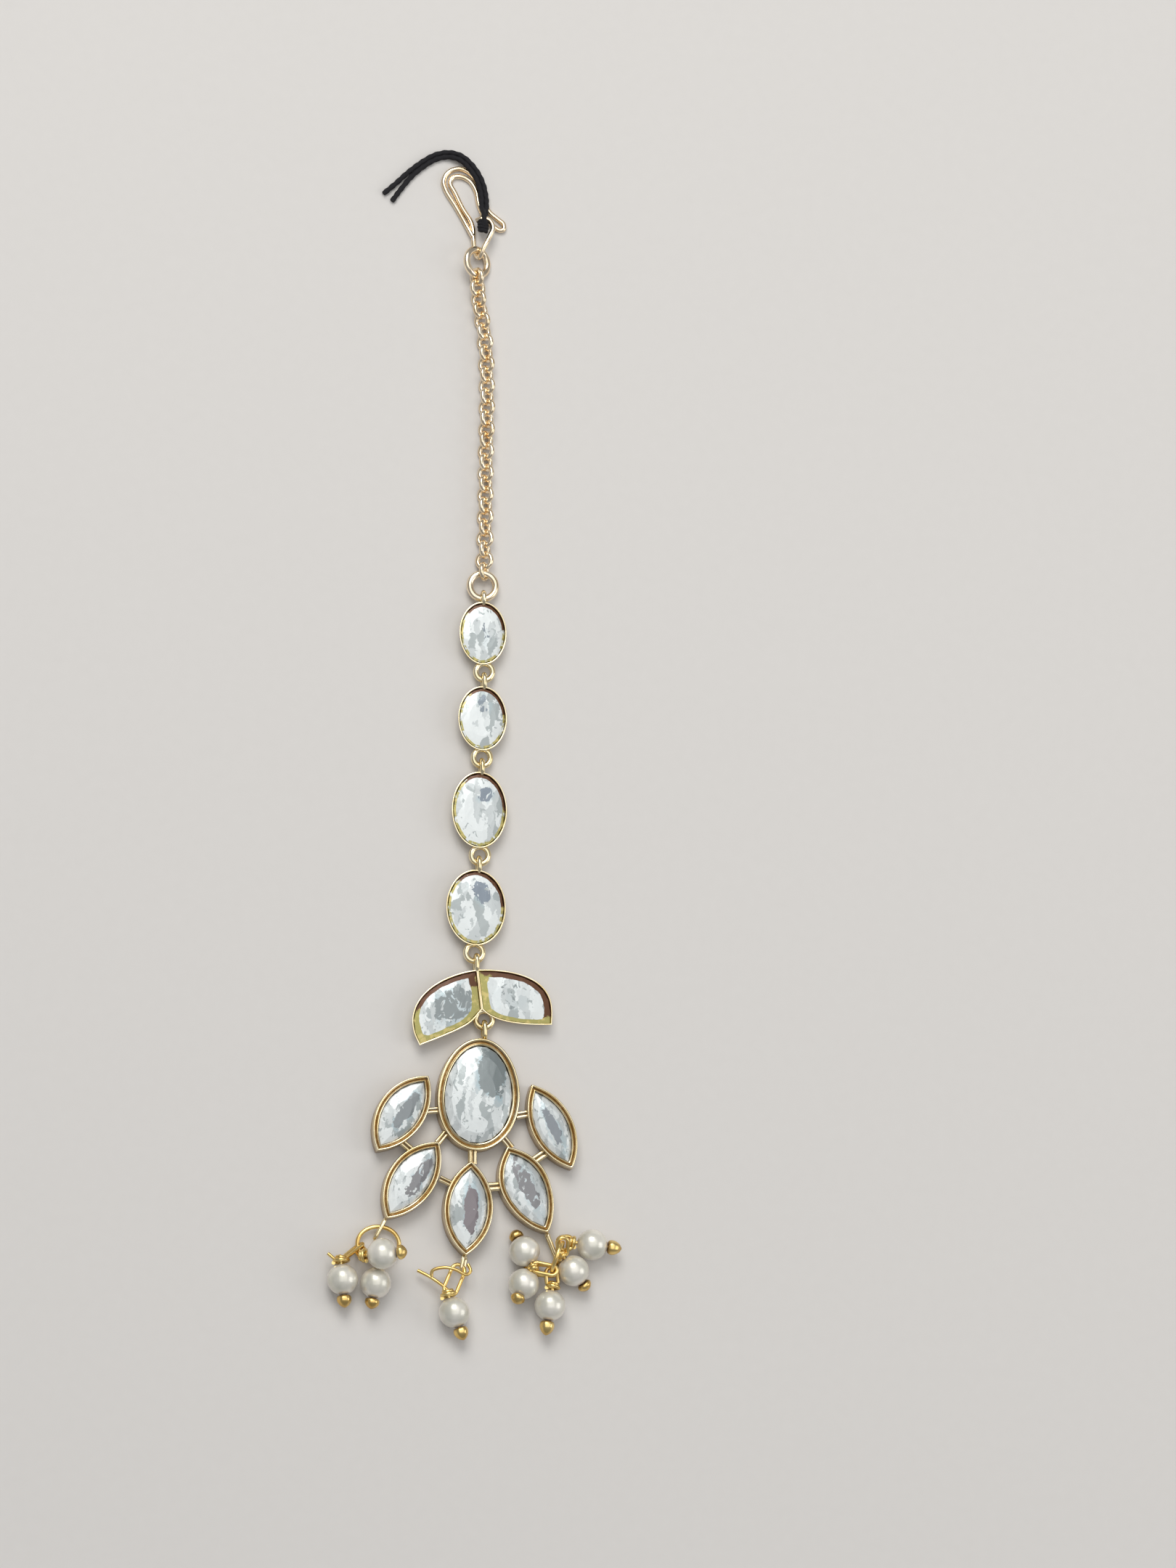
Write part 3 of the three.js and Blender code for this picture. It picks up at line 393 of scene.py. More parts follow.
def wire(path, radius, sides, reference, closed=False, patina=0.0):
    """A tube: round each point of the path, a circle in the plane of the two directions square to
    the path's slope, the first of them square to the reference direction too."""
    path = np.asarray(path, dtype=float)
    if closed:
        slope = np.roll(path, -1, axis=0) - np.roll(path, 1, axis=0)
    else:
        slope = np.gradient(path, axis=0)
    side = unit(np.cross(slope, np.broadcast_to(reference, path.shape)))
    lift = unit(np.cross(side, slope))
    angle = np.arange(sides) / sides * 2 * np.pi
    across = np.cos(angle)[None, :, None] * side[:, None, :]
    circle = across + np.sin(angle)[None, :, None] * lift[:, None, :]
    radius = np.broadcast_to(radius, (len(path), sides)) if np.ndim(radius) < 2 else radius
    grid = path[:, None, :] + radius[:, :, None] * circle
    return shell(grid, wrap_rows=closed, patina=patina)


def torus(centre, radius, wire_radius, axis, rings=48, sides=16):
    """A round ring about an axis."""
    side = unit(np.cross(axis, X_AXIS if abs(axis[0]) < 0.9 else Y_AXIS))
    lift = unit(np.cross(axis, side))
    angle = np.arange(rings) / rings * 2 * np.pi
    path = centre + radius * (np.cos(angle)[:, None] * side + np.sin(angle)[:, None] * lift)
    return wire(path, wire_radius, sides, axis, closed=True)


def loop_of_wire(start, end, width, thickness, through, count=40, sides=12):
    path, normal = stadium(start, end, width, through, count)
    return wire(at(path), thickness / 2, sides, normal, closed=True)


def turned(profile, axis, centre, sides, wrap_rows=True, lobes=0, lobe_depth=0.0, patina=0.0):
    """A profile of radius and height carried round an axis. Lobes make the radius swell and shrink."""
    side = unit(np.cross(axis, Z_AXIS if abs(axis[2]) < 0.9 else X_AXIS))
    lift = np.cross(axis, side)
    angle = np.arange(sides) / sides * 2 * np.pi
    radius = profile[:, 0][:, None] * (1 + lobe_depth * np.cos(lobes * angle))[None, :]
    around = np.cos(angle)[:, None] * side + np.sin(angle)[:, None] * lift
    grid = centre + radius[:, :, None] * around[None, :, :] + profile[:, 1][:, None, None] * axis
    return shell(grid, wrap_rows=wrap_rows, patina=patina)


# Outlines of the settings


def oval_outline(row, inset, count):
    """An ellipse, egg-shaped if its width shrinks towards the top, moved inwards along its normals."""
    angle = np.arange(count) / count * 2 * np.pi
    across = row["width"] / 2 * np.cos(angle) * (1 - row.get("egg", 0) * np.sin(angle))
    outline = np.stack([across, row["height"] / 2 * np.sin(angle)], axis=1)
    turn = np.radians(row.get("turn", 0))
    spin = np.array([[np.cos(turn), np.sin(turn)], [-np.sin(turn), np.cos(turn)]])
    return inset_polygon(outline @ spin + (row["x"], row["y"]), inset)


def petal_outline(row, inset, count):
    """Where two discs meet: each side is an arc of one disc, and an inset makes both discs smaller.
    A lean moves the sides towards the inner tip, most where they are widest."""
    start = np.array([row["from_x"], row["from_y"]])
    end = np.array([row["to_x"], row["to_y"]])
    half = np.linalg.norm(end - start) / 2
    along = unit(end - start)
    east = np.array([-along[1], along[0]])
    bulge = np.array([row["west"], row["east"]])
    radius = (half**2 + bulge**2) / (2 * bulge)
    middle = np.array([radius[0] - bulge[0], bulge[1] - radius[1]])
    radius = radius - inset
    powers = radius[0] ** 2 - radius[1] ** 2 + middle[1] ** 2 - middle[0] ** 2
    meet = powers / (2 * (middle[1] - middle[0]))
    tip = np.sqrt(radius[0] ** 2 - (meet - middle[0]) ** 2)
    share = np.linspace(-1, 1, count // 2, endpoint=False)
    arcs = []
    for side, facing in ((0, -1), (1, 1)):
        angle = share * np.arcsin(tip / radius[side]) * -facing
        out = middle[side] + facing * radius[side] * np.cos(angle)
        place = radius[side] * np.sin(angle) / half
        slip = row["lean"] * (1 - place**2) * np.abs(out) / bulge[side]
        arcs.append(out[:, None] * east + half * (place - slip)[:, None] * along)
    return (start + end) / 2 + np.concatenate(arcs)


def inset_polygon(outline, inset):
    """Each corner moved inwards along its mitre, by the inset over the cosine of half the turn."""
    before = unit(outline - np.roll(outline, 1, axis=0))
    after = unit(np.roll(outline, -1, axis=0) - outline)
    normal = np.stack([-after[:, 1], after[:, 0]], axis=1)
    inwards = unit(np.stack([-before[:, 1] - after[:, 1], before[:, 0] + after[:, 0]], axis=1))
    mitre = inset / np.maximum(0.4, (inwards * normal).sum(axis=1))
    return outline + inwards * mitre[:, None]


def bezier(a, b, c, d, steps):
    """Points of a cubic after its start."""
    t = (np.arange(steps) + 1)[:, None] / steps
    a, b, c, d = (np.asarray(p, dtype=float) for p in (a, b, c, d))
    return (1 - t) ** 3 * a + 3 * (1 - t) ** 2 * t * b + 3 * (1 - t) * t**2 * c + t**3 * d


def leaf_polygons():
    """The two leaves and their common outline as corner points, with the numbers of sharp corners."""
    left = np.concatenate([
        [LEAF_TOP],
        bezier(LEAF_TOP, (-3.9, -29.6), (-8.0, -31.9), (-8.2, -35.7), 7),
        [(-7.95, -37.4), LEAF_TIPS["left"], (-4.4, -37.85), (-1.74, -36.61), (-0.4, -35.72), LEAF_INNER],
    ])
    right = np.concatenate([
        [LEAF_INNER],
        bezier(LEAF_INNER, (2.6, -35.9), (6.5, -36.1), LEAF_TIPS["right"], 7),
        [(10.18, -34.2)],
        bezier((10.18, -34.2), (10.2, -30.2), (6.2, -28.6), LEAF_TOP, 7),
    ])
    both = np.concatenate([left, right[1:-1]])
    return {
        "left": (left, (0, 9, 13)),
        "right": (right, (0, 7, 15)),
        "both": (both, (0, 9, 13, 20)),
    }


def leaf_outline(polygon, corners, inset, per):
    """The polygon moved inwards, then rounded between its sharp corners."""
    return through_points(inset_polygon(polygon, inset), per, closed=True, corners=corners)


def walls(outline_at, rows, even_patina_and_shade=1.0):
    """A wall: the outline at each row's inset, lifted to the row's height. Its patina and painted shade
    keep an even share all round, and the rest is painted shade that grows with the cosine of the angle to
    the shaded side."""
    rows = table(SECTION_COLUMNS, rows)
    rings = []
    for row in rows:
        ring = outline_at(row["inset"])
        rings.append(np.column_stack([ring, np.full(len(ring), row["height"])]))
    outline = rings[0][:, :2]
    facing = unit(outline - (outline.min(axis=0) + outline.max(axis=0)) / 2) @ unit(PAINTED_SHADE_SIDE)
    shade_share = even_patina_and_shade + (1 - even_patina_and_shade) * np.clip(facing * SHADE_REACH, 0, 1)
    patina = np.array([row["patina"] for row in rows])[:, None] * shade_share[None, :]
    return shell(at(np.stack(rings)), patina=patina)


# Pieces


def finished_mesh(name, shells, smooth_angle):
    """Shells side by side in one mesh, with the values of their layers at each point and a foil map."""
    offsets = np.cumsum([0] + [len(s["points"]) for s in shells])
    faces = []
    for part, offset in zip(shells, offsets):
        for face in part["faces"]:
            faces.extend((face + offset).tolist())
    mesh = bpy.data.meshes.new(name)
    mesh.from_pydata(np.concatenate([s["points"] for s in shells]).tolist(), [], faces)
    for layer in shells[0]["layers"]:
        values = np.concatenate([s["layers"][layer] for s in shells])
        mesh.attributes.new(layer, "FLOAT", "POINT").data.foreach_set("value", values.astype(np.float32))
    corner_point = np.empty(len(mesh.loops), dtype=np.int32)
    mesh.loops.foreach_get("vertex_index", corner_point)
    uv = np.concatenate([s["uv"] for s in shells])[corner_point]
    mesh.uv_layers.new(name="foil").data.foreach_set("uv", uv.astype(np.float32).ravel())
    if smooth_angle:
        mesh.shade_smooth()
        mesh.set_sharp_from_angle(angle=np.radians(smooth_angle))
    else:
        mesh.shade_flat()
    return mesh


def add_piece(name, shells, material, nodes, smooth_angle=40):
    """One object at the origin, riding on the jewel's body in place of its plain solids."""
    piece = bpy.data.objects.new(name, finished_mesh(name, shells, smooth_angle))
    bpy.context.scene.collection.objects.link(piece)
    piece.data.materials.append(material)
    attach(piece, BODY)
    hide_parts(*nodes)
    return piece


# Materials


def add_node(tree, kind, inputs=(), **settings):
    """A shader node with its settings, and values, nodes or outputs on its inputs, by name or number.
    A node given as an input stands for its first output."""
    node = tree.nodes.new(f"ShaderNode{kind}")
    for key, value in settings.items():
        setattr(node, key, value)
    for key, value in dict(inputs).items():
        if isinstance(value, (bpy.types.Node, bpy.types.NodeSocket)):
            connect(value, node, key)
        else:
            node.inputs[key].default_value = value
    return node


def connect(source, node, key):
    """A link from an output, or a node's first one, to a node's input."""
    output = source.outputs[0] if isinstance(source, bpy.types.Node) else source
    node.id_data.links.new(output, node.inputs[key])


def new_material(name, **shader_inputs):
    """A material with one shader and the constants that hold all over its surface, the shader, and the
    function that adds nodes to it."""
    material = bpy.data.materials.new(name)
    material.use_nodes = True
    material.node_tree.nodes.clear()
    node = functools.partial(add_node, material.node_tree)
    shader = node("BsdfPrincipled", {key.replace("_", " "): value for key, value in shader_inputs.items()})
    node("OutputMaterial", {"Surface": shader})
    return material, shader, node


def per_metre(pattern):
    """How many of a pattern's features lie in a metre."""
    return 1 / (PATTERN_MM[pattern] * MM)


def metal(name, bright, shade, patina, grain_mm, roughness):
    """Polished metal whose hollows and shaded walls hold dark patina and painted shade, with a faint uneven
    polish.
    """
    material, shader, node = new_material(name, Metallic=1.0)
    place = node("TexCoord").outputs["Object"]
    tone = node("TexNoise", {"Vector": place, "Scale": per_metre("worn plate"), "Detail": 3.0})
    worn = node("MapRange", {0: tone, 1: 0.35, 2: 0.7})
    colour = node("Mix", {0: worn, 6: bright, 7: shade}, data_type="RGBA")
    # A point layer darkens the metal with patina and painted shade: in grooves, at the feet of walls and on
    # the cup walls' shaded side.
    held = node("Attribute", attribute_name="patina")
    grime_and_shade = node("TexNoise", {"Vector": place, "Scale": per_metre("grime_and_shade"), "Detail": 4.0})
    uneven = node("Math", {0: grime_and_shade, 1: 0.6}, operation="MULTIPLY")
    offset = node("Math", {0: uneven, 1: 0.7}, operation="ADD")
    mask = node("Math", {0: held.outputs["Fac"], 1: offset}, operation="MULTIPLY", use_clamp=True)
    dark = node("Mix", {0: mask, 6: colour.outputs[2], 7: patina}, data_type="RGBA")
    connect(dark.outputs[2], shader, "Base Color")
    dull = node("MapRange", {0: mask, 3: roughness, 4: roughness + 0.22})
    connect(dull, shader, "Roughness")
    grain = node("TexNoise", {"Vector": place, "Scale": 1 / (grain_mm * MM), "Detail": 2.0})
    bump = node("Bump", {"Strength": 0.22, "Distance": 0.05 * MM, "Height": grain})
    connect(bump, shader, "Normal")
    return material


def gold_plate(colours):
    """Pale gold electroplate over brass, cast and tumbled: bright ridges, and brown patina and painted
    shade in the grooves and on shaded walls.
    """
    found = bpy.data.materials.get("gold_electroplate")
    return found or metal("gold_electroplate", colours.gold, colours.gold_shade, colours.patina, 0.8, 0.2)


def champagne_plate(colours):
    """The same plate on the drawn wire of hook, chain and their rings, where it is thinner and rosier."""
    found = bpy.data.materials.get("champagne_electroplate")
    tones = (colours.champagne, colours.champagne_shade, colours.patina)
    return found or metal("champagne_electroplate", *tones, 0.6, 0.2)


def brass_wire(colours):
    """Drawn brass wire with a yellow flash plate, bent by hand: yellower than the settings."""
    found = bpy.data.materials.get("drawn_brass")
    tones = (colours.brass, colours.brass_shade, colours.brass_patina_and_shade)
    return found or metal("drawn_brass", *tones, 0.5, 0.28)


def foiled_glass(colours):
    """Cut glass on crinkled silver foil: the foil shows as flat fields of painted highlight and shade with
    ragged edges, one dark patch and a painted image of the gold wall near the rim, and the glass over it as
    a clear coat."""
    material, shader, node = new_material(
        "glass_on_foil", Metallic=0.3, Roughness=0.34, Coat_Roughness=0.04)
    # The foil lies in flat fields with ragged borders, drawn out along the stones. Their light and grey are
    # painted reflection: light where a field would face the light, grey where it would face away.
    place = node("TexCoord").outputs["Object"]
    ragged = node("TexNoise",
                  {"Vector": place, "Scale": per_metre("foil tears"), "Detail": 5.0, "Roughness": 0.65})
    tear = (PATTERN_MM["foil tears"] * MM,) * 3
    shifted = node("VectorMath", {0: ragged.outputs["Color"], 1: tear}, operation="MULTIPLY")
    crinkled = node("VectorMath", {0: place, 1: shifted}, operation="ADD")
    drawn_out = node("Mapping", {"Vector": crinkled, "Scale": (1.0, 0.38, 1.0)})
    fields = node("TexVoronoi", {"Vector": drawn_out, "Scale": per_metre("foil fields")})
    pick = node("SeparateColor", {"Color": fields.outputs["Color"]})
    bright = node("MapRange", {0: pick.outputs[0], 1: 0.3, 2: 0.36})
    foil = node("Mix", {0: bright, 6: colours.foil, 7: colours.foil_white}, data_type="RGBA")
    turned_away = node("MapRange", {0: pick.outputs[1], 1: 0.86, 2: 0.88})
    foil = node("Mix", {0: turned_away, 6: foil.outputs[2], 7: colours.foil_grey}, data_type="RGBA")
    # The patch: the distance in the foil map, torn at its border, with bluish foil round a whole one
    patch = node("UVMap", uv_map="foil")
    reach = node("VectorMath", {0: patch}, operation="LENGTH")
    tear = node("MapRange", {0: ragged, 1: 0.3, 2: 0.7, 3: -0.35, 4: 0.35})
    border = node("Math", {0: reach.outputs["Value"], 1: tear}, operation="ADD")
    near = node("MapRange", {0: border, 1: 1.5, 2: 1.0})
    cool = node("MapRange", {0: pick.outputs[2], 1: 0.5, 2: 0.6})
    whole = node("Attribute", attribute_name="whole")
    beside = node("Math", {0: near, 1: whole.outputs["Fac"]}, operation="MULTIPLY")
    cold = node("Math", {0: beside, 1: cool}, operation="MULTIPLY")
    foil = node("Mix", {0: cold, 6: foil.outputs[2], 7: colours.foil_blue}, data_type="RGBA")
    inside = node("MapRange", {0: border, 1: 1.04, 2: 0.96})
    # Creases cross the foil, and fill the patch.
    narrow = node("Mapping", {"Vector": place, "Scale": (1.0, 0.6, 1.0)})
    crease = node("TexNoise",
                  {"Vector": narrow, "Scale": per_metre("foil creases"), "Detail": 4.0, "Distortion": 1.2})
    filled = node("Math", {0: whole.outputs["Fac"], 1: inside}, operation="MULTIPLY")
    cover = node("Math", {0: filled, 1: 0.35, 2: crease}, operation="MULTIPLY_ADD")
    dark = node("MapRange", {0: cover, 1: 0.61, 2: 0.65})
    mauve = node("Attribute", attribute_name="mauve")
    deep = node("Mix", {0: mauve.outputs["Fac"], 6: colours.foil_dark, 7: colours.foil_mauve},
                data_type="RGBA")
    blue = node("Attribute", attribute_name="blue")
    deep = node("Mix", {0: blue.outputs["Fac"], 6: deep.outputs[2], 7: colours.foil_slate},
                data_type="RGBA")
    deep = node("Mix", {0: inside, 6: colours.foil_grey, 7: deep.outputs[2]}, data_type="RGBA")
    foil = node("Mix", {0: dark, 6: foil.outputs[2], 7: deep.outputs[2]}, data_type="RGBA")
    # Near the edge a painted image of the metal wall: olive and gold where it would be lit, painted brown
    # shade where it would be shaded
    glow = node("TexNoise", {"Vector": place, "Scale": per_metre("gold glow"), "Detail": 3.0})
    edge = node("Attribute", attribute_name="edge")
    warm = node("Math", {0: glow, 1: 0.45, 2: edge.outputs["Fac"]}, operation="MULTIPLY_ADD")
    reached = node("MapRange", {0: warm, 1: 0.86, 2: 0.9})
    speckle = node("TexNoise", {"Vector": place, "Scale": per_metre("gold speckle"), "Detail": 3.0})
    broken = node("MapRange", {0: speckle, 1: 0.4, 2: 0.48})
    side = node("Attribute", attribute_name="brown")
    turning = node("Math", {0: glow, 1: side.outputs["Fac"]}, operation="ADD")
    wall_in_shade = node("MapRange", {0: turning, 1: 0.46, 2: 0.54})
    lasting = node("Math", {0: broken, 1: wall_in_shade}, operation="MAXIMUM")
    unbroken = node("Attribute", attribute_name="unbroken")
    lasting = node("Math", {0: lasting, 1: unbroken.outputs["Fac"]}, operation="MAXIMUM")
    band = node("Math", {0: reached, 1: lasting}, operation="MULTIPLY")
    # Brighter gold and olive at random in the painted wall image
    brighter_gold = node("MapRange", {0: speckle, 1: 0.52, 2: 0.62})
    olive = node("Mix", {0: brighter_gold, 6: colours.glass_edge, 7: colours.glass_gold}, data_type="RGBA")
    wall_image = node("Mix", {0: wall_in_shade, 6: olive.outputs[2], 7: colours.glass_shade}, data_type="RGBA")
    foil = node("Mix", {0: band, 6: foil.outputs[2], 7: wall_image.outputs[2]}, data_type="RGBA")
    connect(foil.outputs[2], shader, "Base Color")
    # The shaded wall dulls the gloss over it.
    shaded = node("Math", {0: band, 1: wall_in_shade}, operation="MULTIPLY")
    clear = node("MapRange", {0: shaded, 3: 1.0, 4: 0.1})
    connect(clear, shader, "Coat Weight")
    crumple = node("Bump", {"Strength": 0.5, "Distance": 0.06 * MM, "Height": fields.outputs["Distance"]})
    connect(crumple, shader, "Normal")
    return material


def pearl_coat(colours):
    """Round glass pearls with a nacre lacquer: warm ivory, a soft inner glow and a clear gloss."""
    material, shader, node = new_material(
        "nacre_lacquer", Metallic=0.35, Roughness=0.34, IOR=1.53, Coat_Weight=0.9, Coat_Roughness=0.08,
        Sheen_Weight=0.25, Sheen_Roughness=0.35, Sheen_Tint=colours.pearl_rim,
    )
    place = node("TexCoord").outputs["Object"]
    cloud = node("TexNoise", {"Vector": place, "Scale": per_metre("nacre clouds"), "Detail": 2.0})
    share = node("MapRange", {0: cloud, 1: 0.35, 2: 0.65})
    colour = node("Mix", {0: share, 6: colours.pearl, 7: colours.pearl_shade}, data_type="RGBA")
    connect(colour.outputs[2], shader, "Base Color")
    pores = node("TexNoise", {"Vector": place, "Scale": per_metre("nacre pores"), "Detail": 3.0})
    bump = node("Bump", {"Strength": 0.12, "Distance": 0.02 * MM, "Height": pores})
    connect(bump, shader, "Normal")
    return material


def black_thread(colours):
    """Twisted cotton thread, dyed black: matt, with a soft fuzz of loose fibre."""
    material, shader, node = new_material(
        "dyed_cotton", Roughness=0.85, Sheen_Weight=0.12, Sheen_Roughness=0.5,
        Sheen_Tint=colours.thread_fuzz,
    )
    place = node("TexCoord").outputs["Object"]
    fibre = node("TexNoise", {"Vector": place, "Scale": per_metre("fibre"), "Detail": 3.0})
    share = node("MapRange", {0: fibre, 1: 0.4, 2: 0.75})
    colour = node("Mix", {0: share, 6: colours.thread, 7: colours.thread_fuzz}, data_type="RGBA")
    connect(colour.outputs[2], shader, "Base Color")
    bump = node("Bump", {"Strength": 0.8, "Distance": 0.05 * MM, "Height": fibre})
    connect(bump, shader, "Normal")
    return material


def pale_board(colours):
    """Painted board: an even matt off-white."""
    material, shader, node = new_material("pale_board", Roughness=0.75)
    place = node("TexCoord").outputs["Object"]
    roller = node("TexNoise", {"Vector": place, "Scale": per_metre("paint roller"), "Detail": 2.0})
    share = node("MapRange", {0: roller, 3: 0.0, 4: 0.12})
    colour = node("Mix", {0: share, 6: colours.floor, 7: colours.floor_shade}, data_type="RGBA")
    connect(colour.outputs[2], shader, "Base Color")
    return material


def colour_property(name, hex_colour, description):
    return bpy.props.FloatVectorProperty(
        name=name, description=description, subtype="COLOR", size=4, min=0.0, max=1.0,
        default=linear(hex_colour))


def length_property(name, millimetres, description):
    return bpy.props.FloatProperty(
        name=name, description=description, unit="LENGTH", min=0.0, precision=5, default=millimetres * MM)


class PendantSizes(bpy.types.PropertyGroup):
    """Wires, pearls and thread."""

    hook_wire: length_property("Hook wire", 0.66, "Thickness of the hook's wire")
    hook_ring_wire: length_property("Hook ring wire", 0.92, "Thickness of the ring below the hook")
    chain_ring_wire: length_property("Chain ring wire", 0.9, "Thickness of the ring below the chain")
    flat_ring_wire: length_property("Flat ring wire", 0.74, "Thickness of the rings below the cups")
    bail_wire: length_property("Bail wire", 0.66, "Thickness of the upright bails")
    link_wire: length_property("Link wire", 0.66, "Thickness of the chain's wire")
    pin_wire: length_property("Pin wire", 0.5, "Thickness of the pearls' wires")
    tip_loop_wire: length_property("Tip loop wire", 0.46, "Thickness of the loops at the petal tips")
    drop_ring_wire: length_property("Drop ring wire", 0.55, "Thickness of the rings that carry the pearls")
    stray_wire: length_property("Loose wire", 0.44, "Thickness of the loose wire ends")
    pearl: length_property("Pearl", 4.0, "Diameter of a pearl")
    thread: length_property("Thread", 0.66, "Diameter of a strand of thread")
    knot: length_property("Knot", 0.56, "Thickness of the thread's knot")


class PendantColours(bpy.types.PropertyGroup):
    """Metals, foil, pearl and thread."""

    gold: colour_property("Gold", "#FAECC8", "Gold plate where it shines")
    gold_shade: colour_property("Gold shade", "#E8D29C", "Gold plate where it is duller")
    champagne: colour_property("Champagne", "#FEEDD0", "Hook and chain where they shine")
    champagne_shade: colour_property("Champagne shade", "#EED4AC", "Hook and chain where they are duller")
    # Patina and painted shade: the brown laid in the settings' grooves, at their feet and on their shaded
    # walls
    patina: colour_property("Patina", "#7E5A2A", "Brown in the settings' grooves")
    brass: colour_property("Brass", "#F8DC92", "Yellow wire")
    brass_shade: colour_property("Brass shade", "#DEB668", "Yellow wire where it is duller")
    # Brass patina and painted shade: the brown laid at the tip beads' foot and tip
    brass_patina_and_shade: colour_property("Brass patina", "#7A4A1C", "Brown in the wires' hollows")
    # Foil, foil light and foil grey are painted reflection of the crinkled foil's fields, lit and turned
    # away
    foil: colour_property("Foil", "#BCC1BF", "Silver foil under the glass")
    foil_white: colour_property("Foil light", "#D8DCD9", "Foil that faces the light")
    foil_grey: colour_property("Foil grey", "#9EA5A3", "Foil that faces away")
    foil_blue: colour_property("Foil blue", "#A6B9BD", "Foil beside the dark patch")
    foil_dark: colour_property("Foil patch", "#7E8685", "The dark patch in each stone")
    foil_mauve: colour_property("Foil mauve", "#75676A", "The dark patch in the lower petals")
    foil_slate: colour_property("Foil slate", "#76818B", "The bluish patch in the oval stones")
    # Painted image of the gold wall near a stone's edge: olive and brighter gold where lit, brown where in
    # shade
    glass_edge: colour_property("Glass edge", "#9E9644", "Gold seen through the edge of a stone")
    glass_gold: colour_property("Glass gold", "#C2B062", "Brighter gold seen through the edge")
    glass_shade: colour_property("Glass shade", "#583008", "The shaded wall seen through the edge")
    pearl: colour_property("Pearl", "#EEE9DC", "Pearl lacquer")
    pearl_shade: colour_property("Pearl shade", "#D6D3C3", "Cooler clouds in the lacquer")
    pearl_rim: colour_property("Pearl rim", "#E7C9BC", "Rosy glow at a pearl's edge")
    thread: colour_property("Thread", "#0B090D", "Black thread")
    thread_fuzz: colour_property("Thread fuzz", "#1C191D", "Loose fibres")
    floor: colour_property("Floor", "#D8D4CE", "The board under the jewel")
    floor_shade: colour_property("Floor shade", "#BFBAB3", "The board's faint mottling")


class PendantStage(bpy.types.PropertyGroup):
    """Board and lamps."""

    board: bpy.props.FloatProperty(
        name="Board", description="Width of the board", unit="LENGTH", min=0.1, default=2.4)
    softbox_power: bpy.props.FloatProperty(
        name="Softbox", description="Power of the wide lamp overhead", min=0.0, default=6.5)
    key_power: bpy.props.FloatProperty(
        name="Key", description="Power of the main lamp", min=0.0, default=2.6)
    fill_power: bpy.props.FloatProperty(
        name="Fill", description="Power of the low lamp on the right", min=0.0, default=0.8)
    sky: bpy.props.FloatProperty(
        name="Sky", description="Strength of the even light all round", min=0.0, default=0.3)


class PENDANT_OT_stage(bpy.types.Operator):
    """Lay the board, hang the lamps and set the camera"""

    bl_idname = "pendant.stage"
    bl_label = "Board, lamps and camera"

    def execute(self, context):
        stage = context.scene.pendant_stage
        half = stage.board / 2
        mesh = bpy.data.meshes.new("board")
        corners = [(-half, -half, 0), (half, -half, 0), (half, half, 0), (-half, half, 0)]
        mesh.from_pydata(corners, [], [(0, 1, 2, 3)])
        mesh.materials.append(pale_board(context.scene.pendant_colours))
        board = bpy.data.objects.new("board", mesh)
        context.scene.collection.objects.link(board)
        powers = (stage.softbox_power, stage.key_power, stage.fill_power)
        for row, power in zip(table(LAMP_COLUMNS, LAMPS), powers):
            self.hang_lamp(context, row, power)
        world = bpy.data.worlds.new("even_light")
        world.use_nodes = True
        background = world.node_tree.nodes["Background"]
        background.inputs["Color"].default_value = SKY_TINT
        background.inputs["Strength"].default_value = stage.sky
        context.scene.world = world
        context.scene.view_settings.view_transform = "Standard"
        self.set_camera(context)
        return {"FINISHED"}

    def hang_lamp(self, context, row, power):
        """A square lamp that faces the middle of the board."""
        lamp = bpy.data.lights.new(row["name"], "AREA")
        lamp.size = row["size"]
        lamp.energy = power
        hung = bpy.data.objects.new(row["name"], lamp)
        place = (row["x"], row["y"], row["z"])
        back = unit(place)
        side = unit(np.cross(Y_AXIS, back))
        axes = np.column_stack([side, np.cross(back, side), back])
        hung.matrix_world = Matrix.Translation(place) @ Matrix(axes.tolist()).to_4x4()
        context.scene.collection.objects.link(hung)

    def set_camera(self, context):
        """The camera looks back along the direction given by its azimuth and elevation, then rolls."""
        azimuth, elevation, roll = (np.radians(CAMERA[k]) for k in ("azimuth", "elevation", "roll"))
        back = np.array([np.sin(azimuth) * np.cos(elevation), -np.cos(azimuth) * np.cos(elevation),
                         np.sin(elevation)])
        right = unit(np.cross(Y_AXIS, back))
        up = np.cross(back, right)
        right, up = (np.cos(roll) * right + np.sin(roll) * up, np.cos(roll) * up - np.sin(roll) * right)
        data = bpy.data.cameras.new("photo_camera")
        data.sensor_width = SENSOR_MM
        data.lens = LENS_MM
        data.clip_start = 0.01
        data.clip_end = 10.0
        camera = bpy.data.objects.new("photo_camera", data)
        axes = Matrix(np.column_stack([right, up, back]).tolist()).to_4x4()
        place = (CAMERA["x"] * MM, CAMERA["y"] * MM, CAMERA["z"] * MM)
        camera.matrix_world = Matrix.Translation(place) @ axes
        context.scene.collection.objects.link(camera)
        context.scene.camera = camera


def strand(sign):
    """One strand: the middle line moved sideways, square to its slope, by the half distance."""
    rows = table(STRAND_COLUMNS, STRAND_ROUTE)
    line = np.array([[row["x"], row["y"]] for row in rows])
    height, half = (np.array([row[key] for row in rows]) for key in ("z", "half"))
    slope = unit(np.concatenate([line[1:2] - line[:1], line[2:] - line[:-2], line[-1:] - line[-2:-1]]))
    sideways = np.stack([-slope[:, 1], slope[:, 0]], axis=1) * half[:, None] * sign
    return np.column_stack([line + sideways, height])


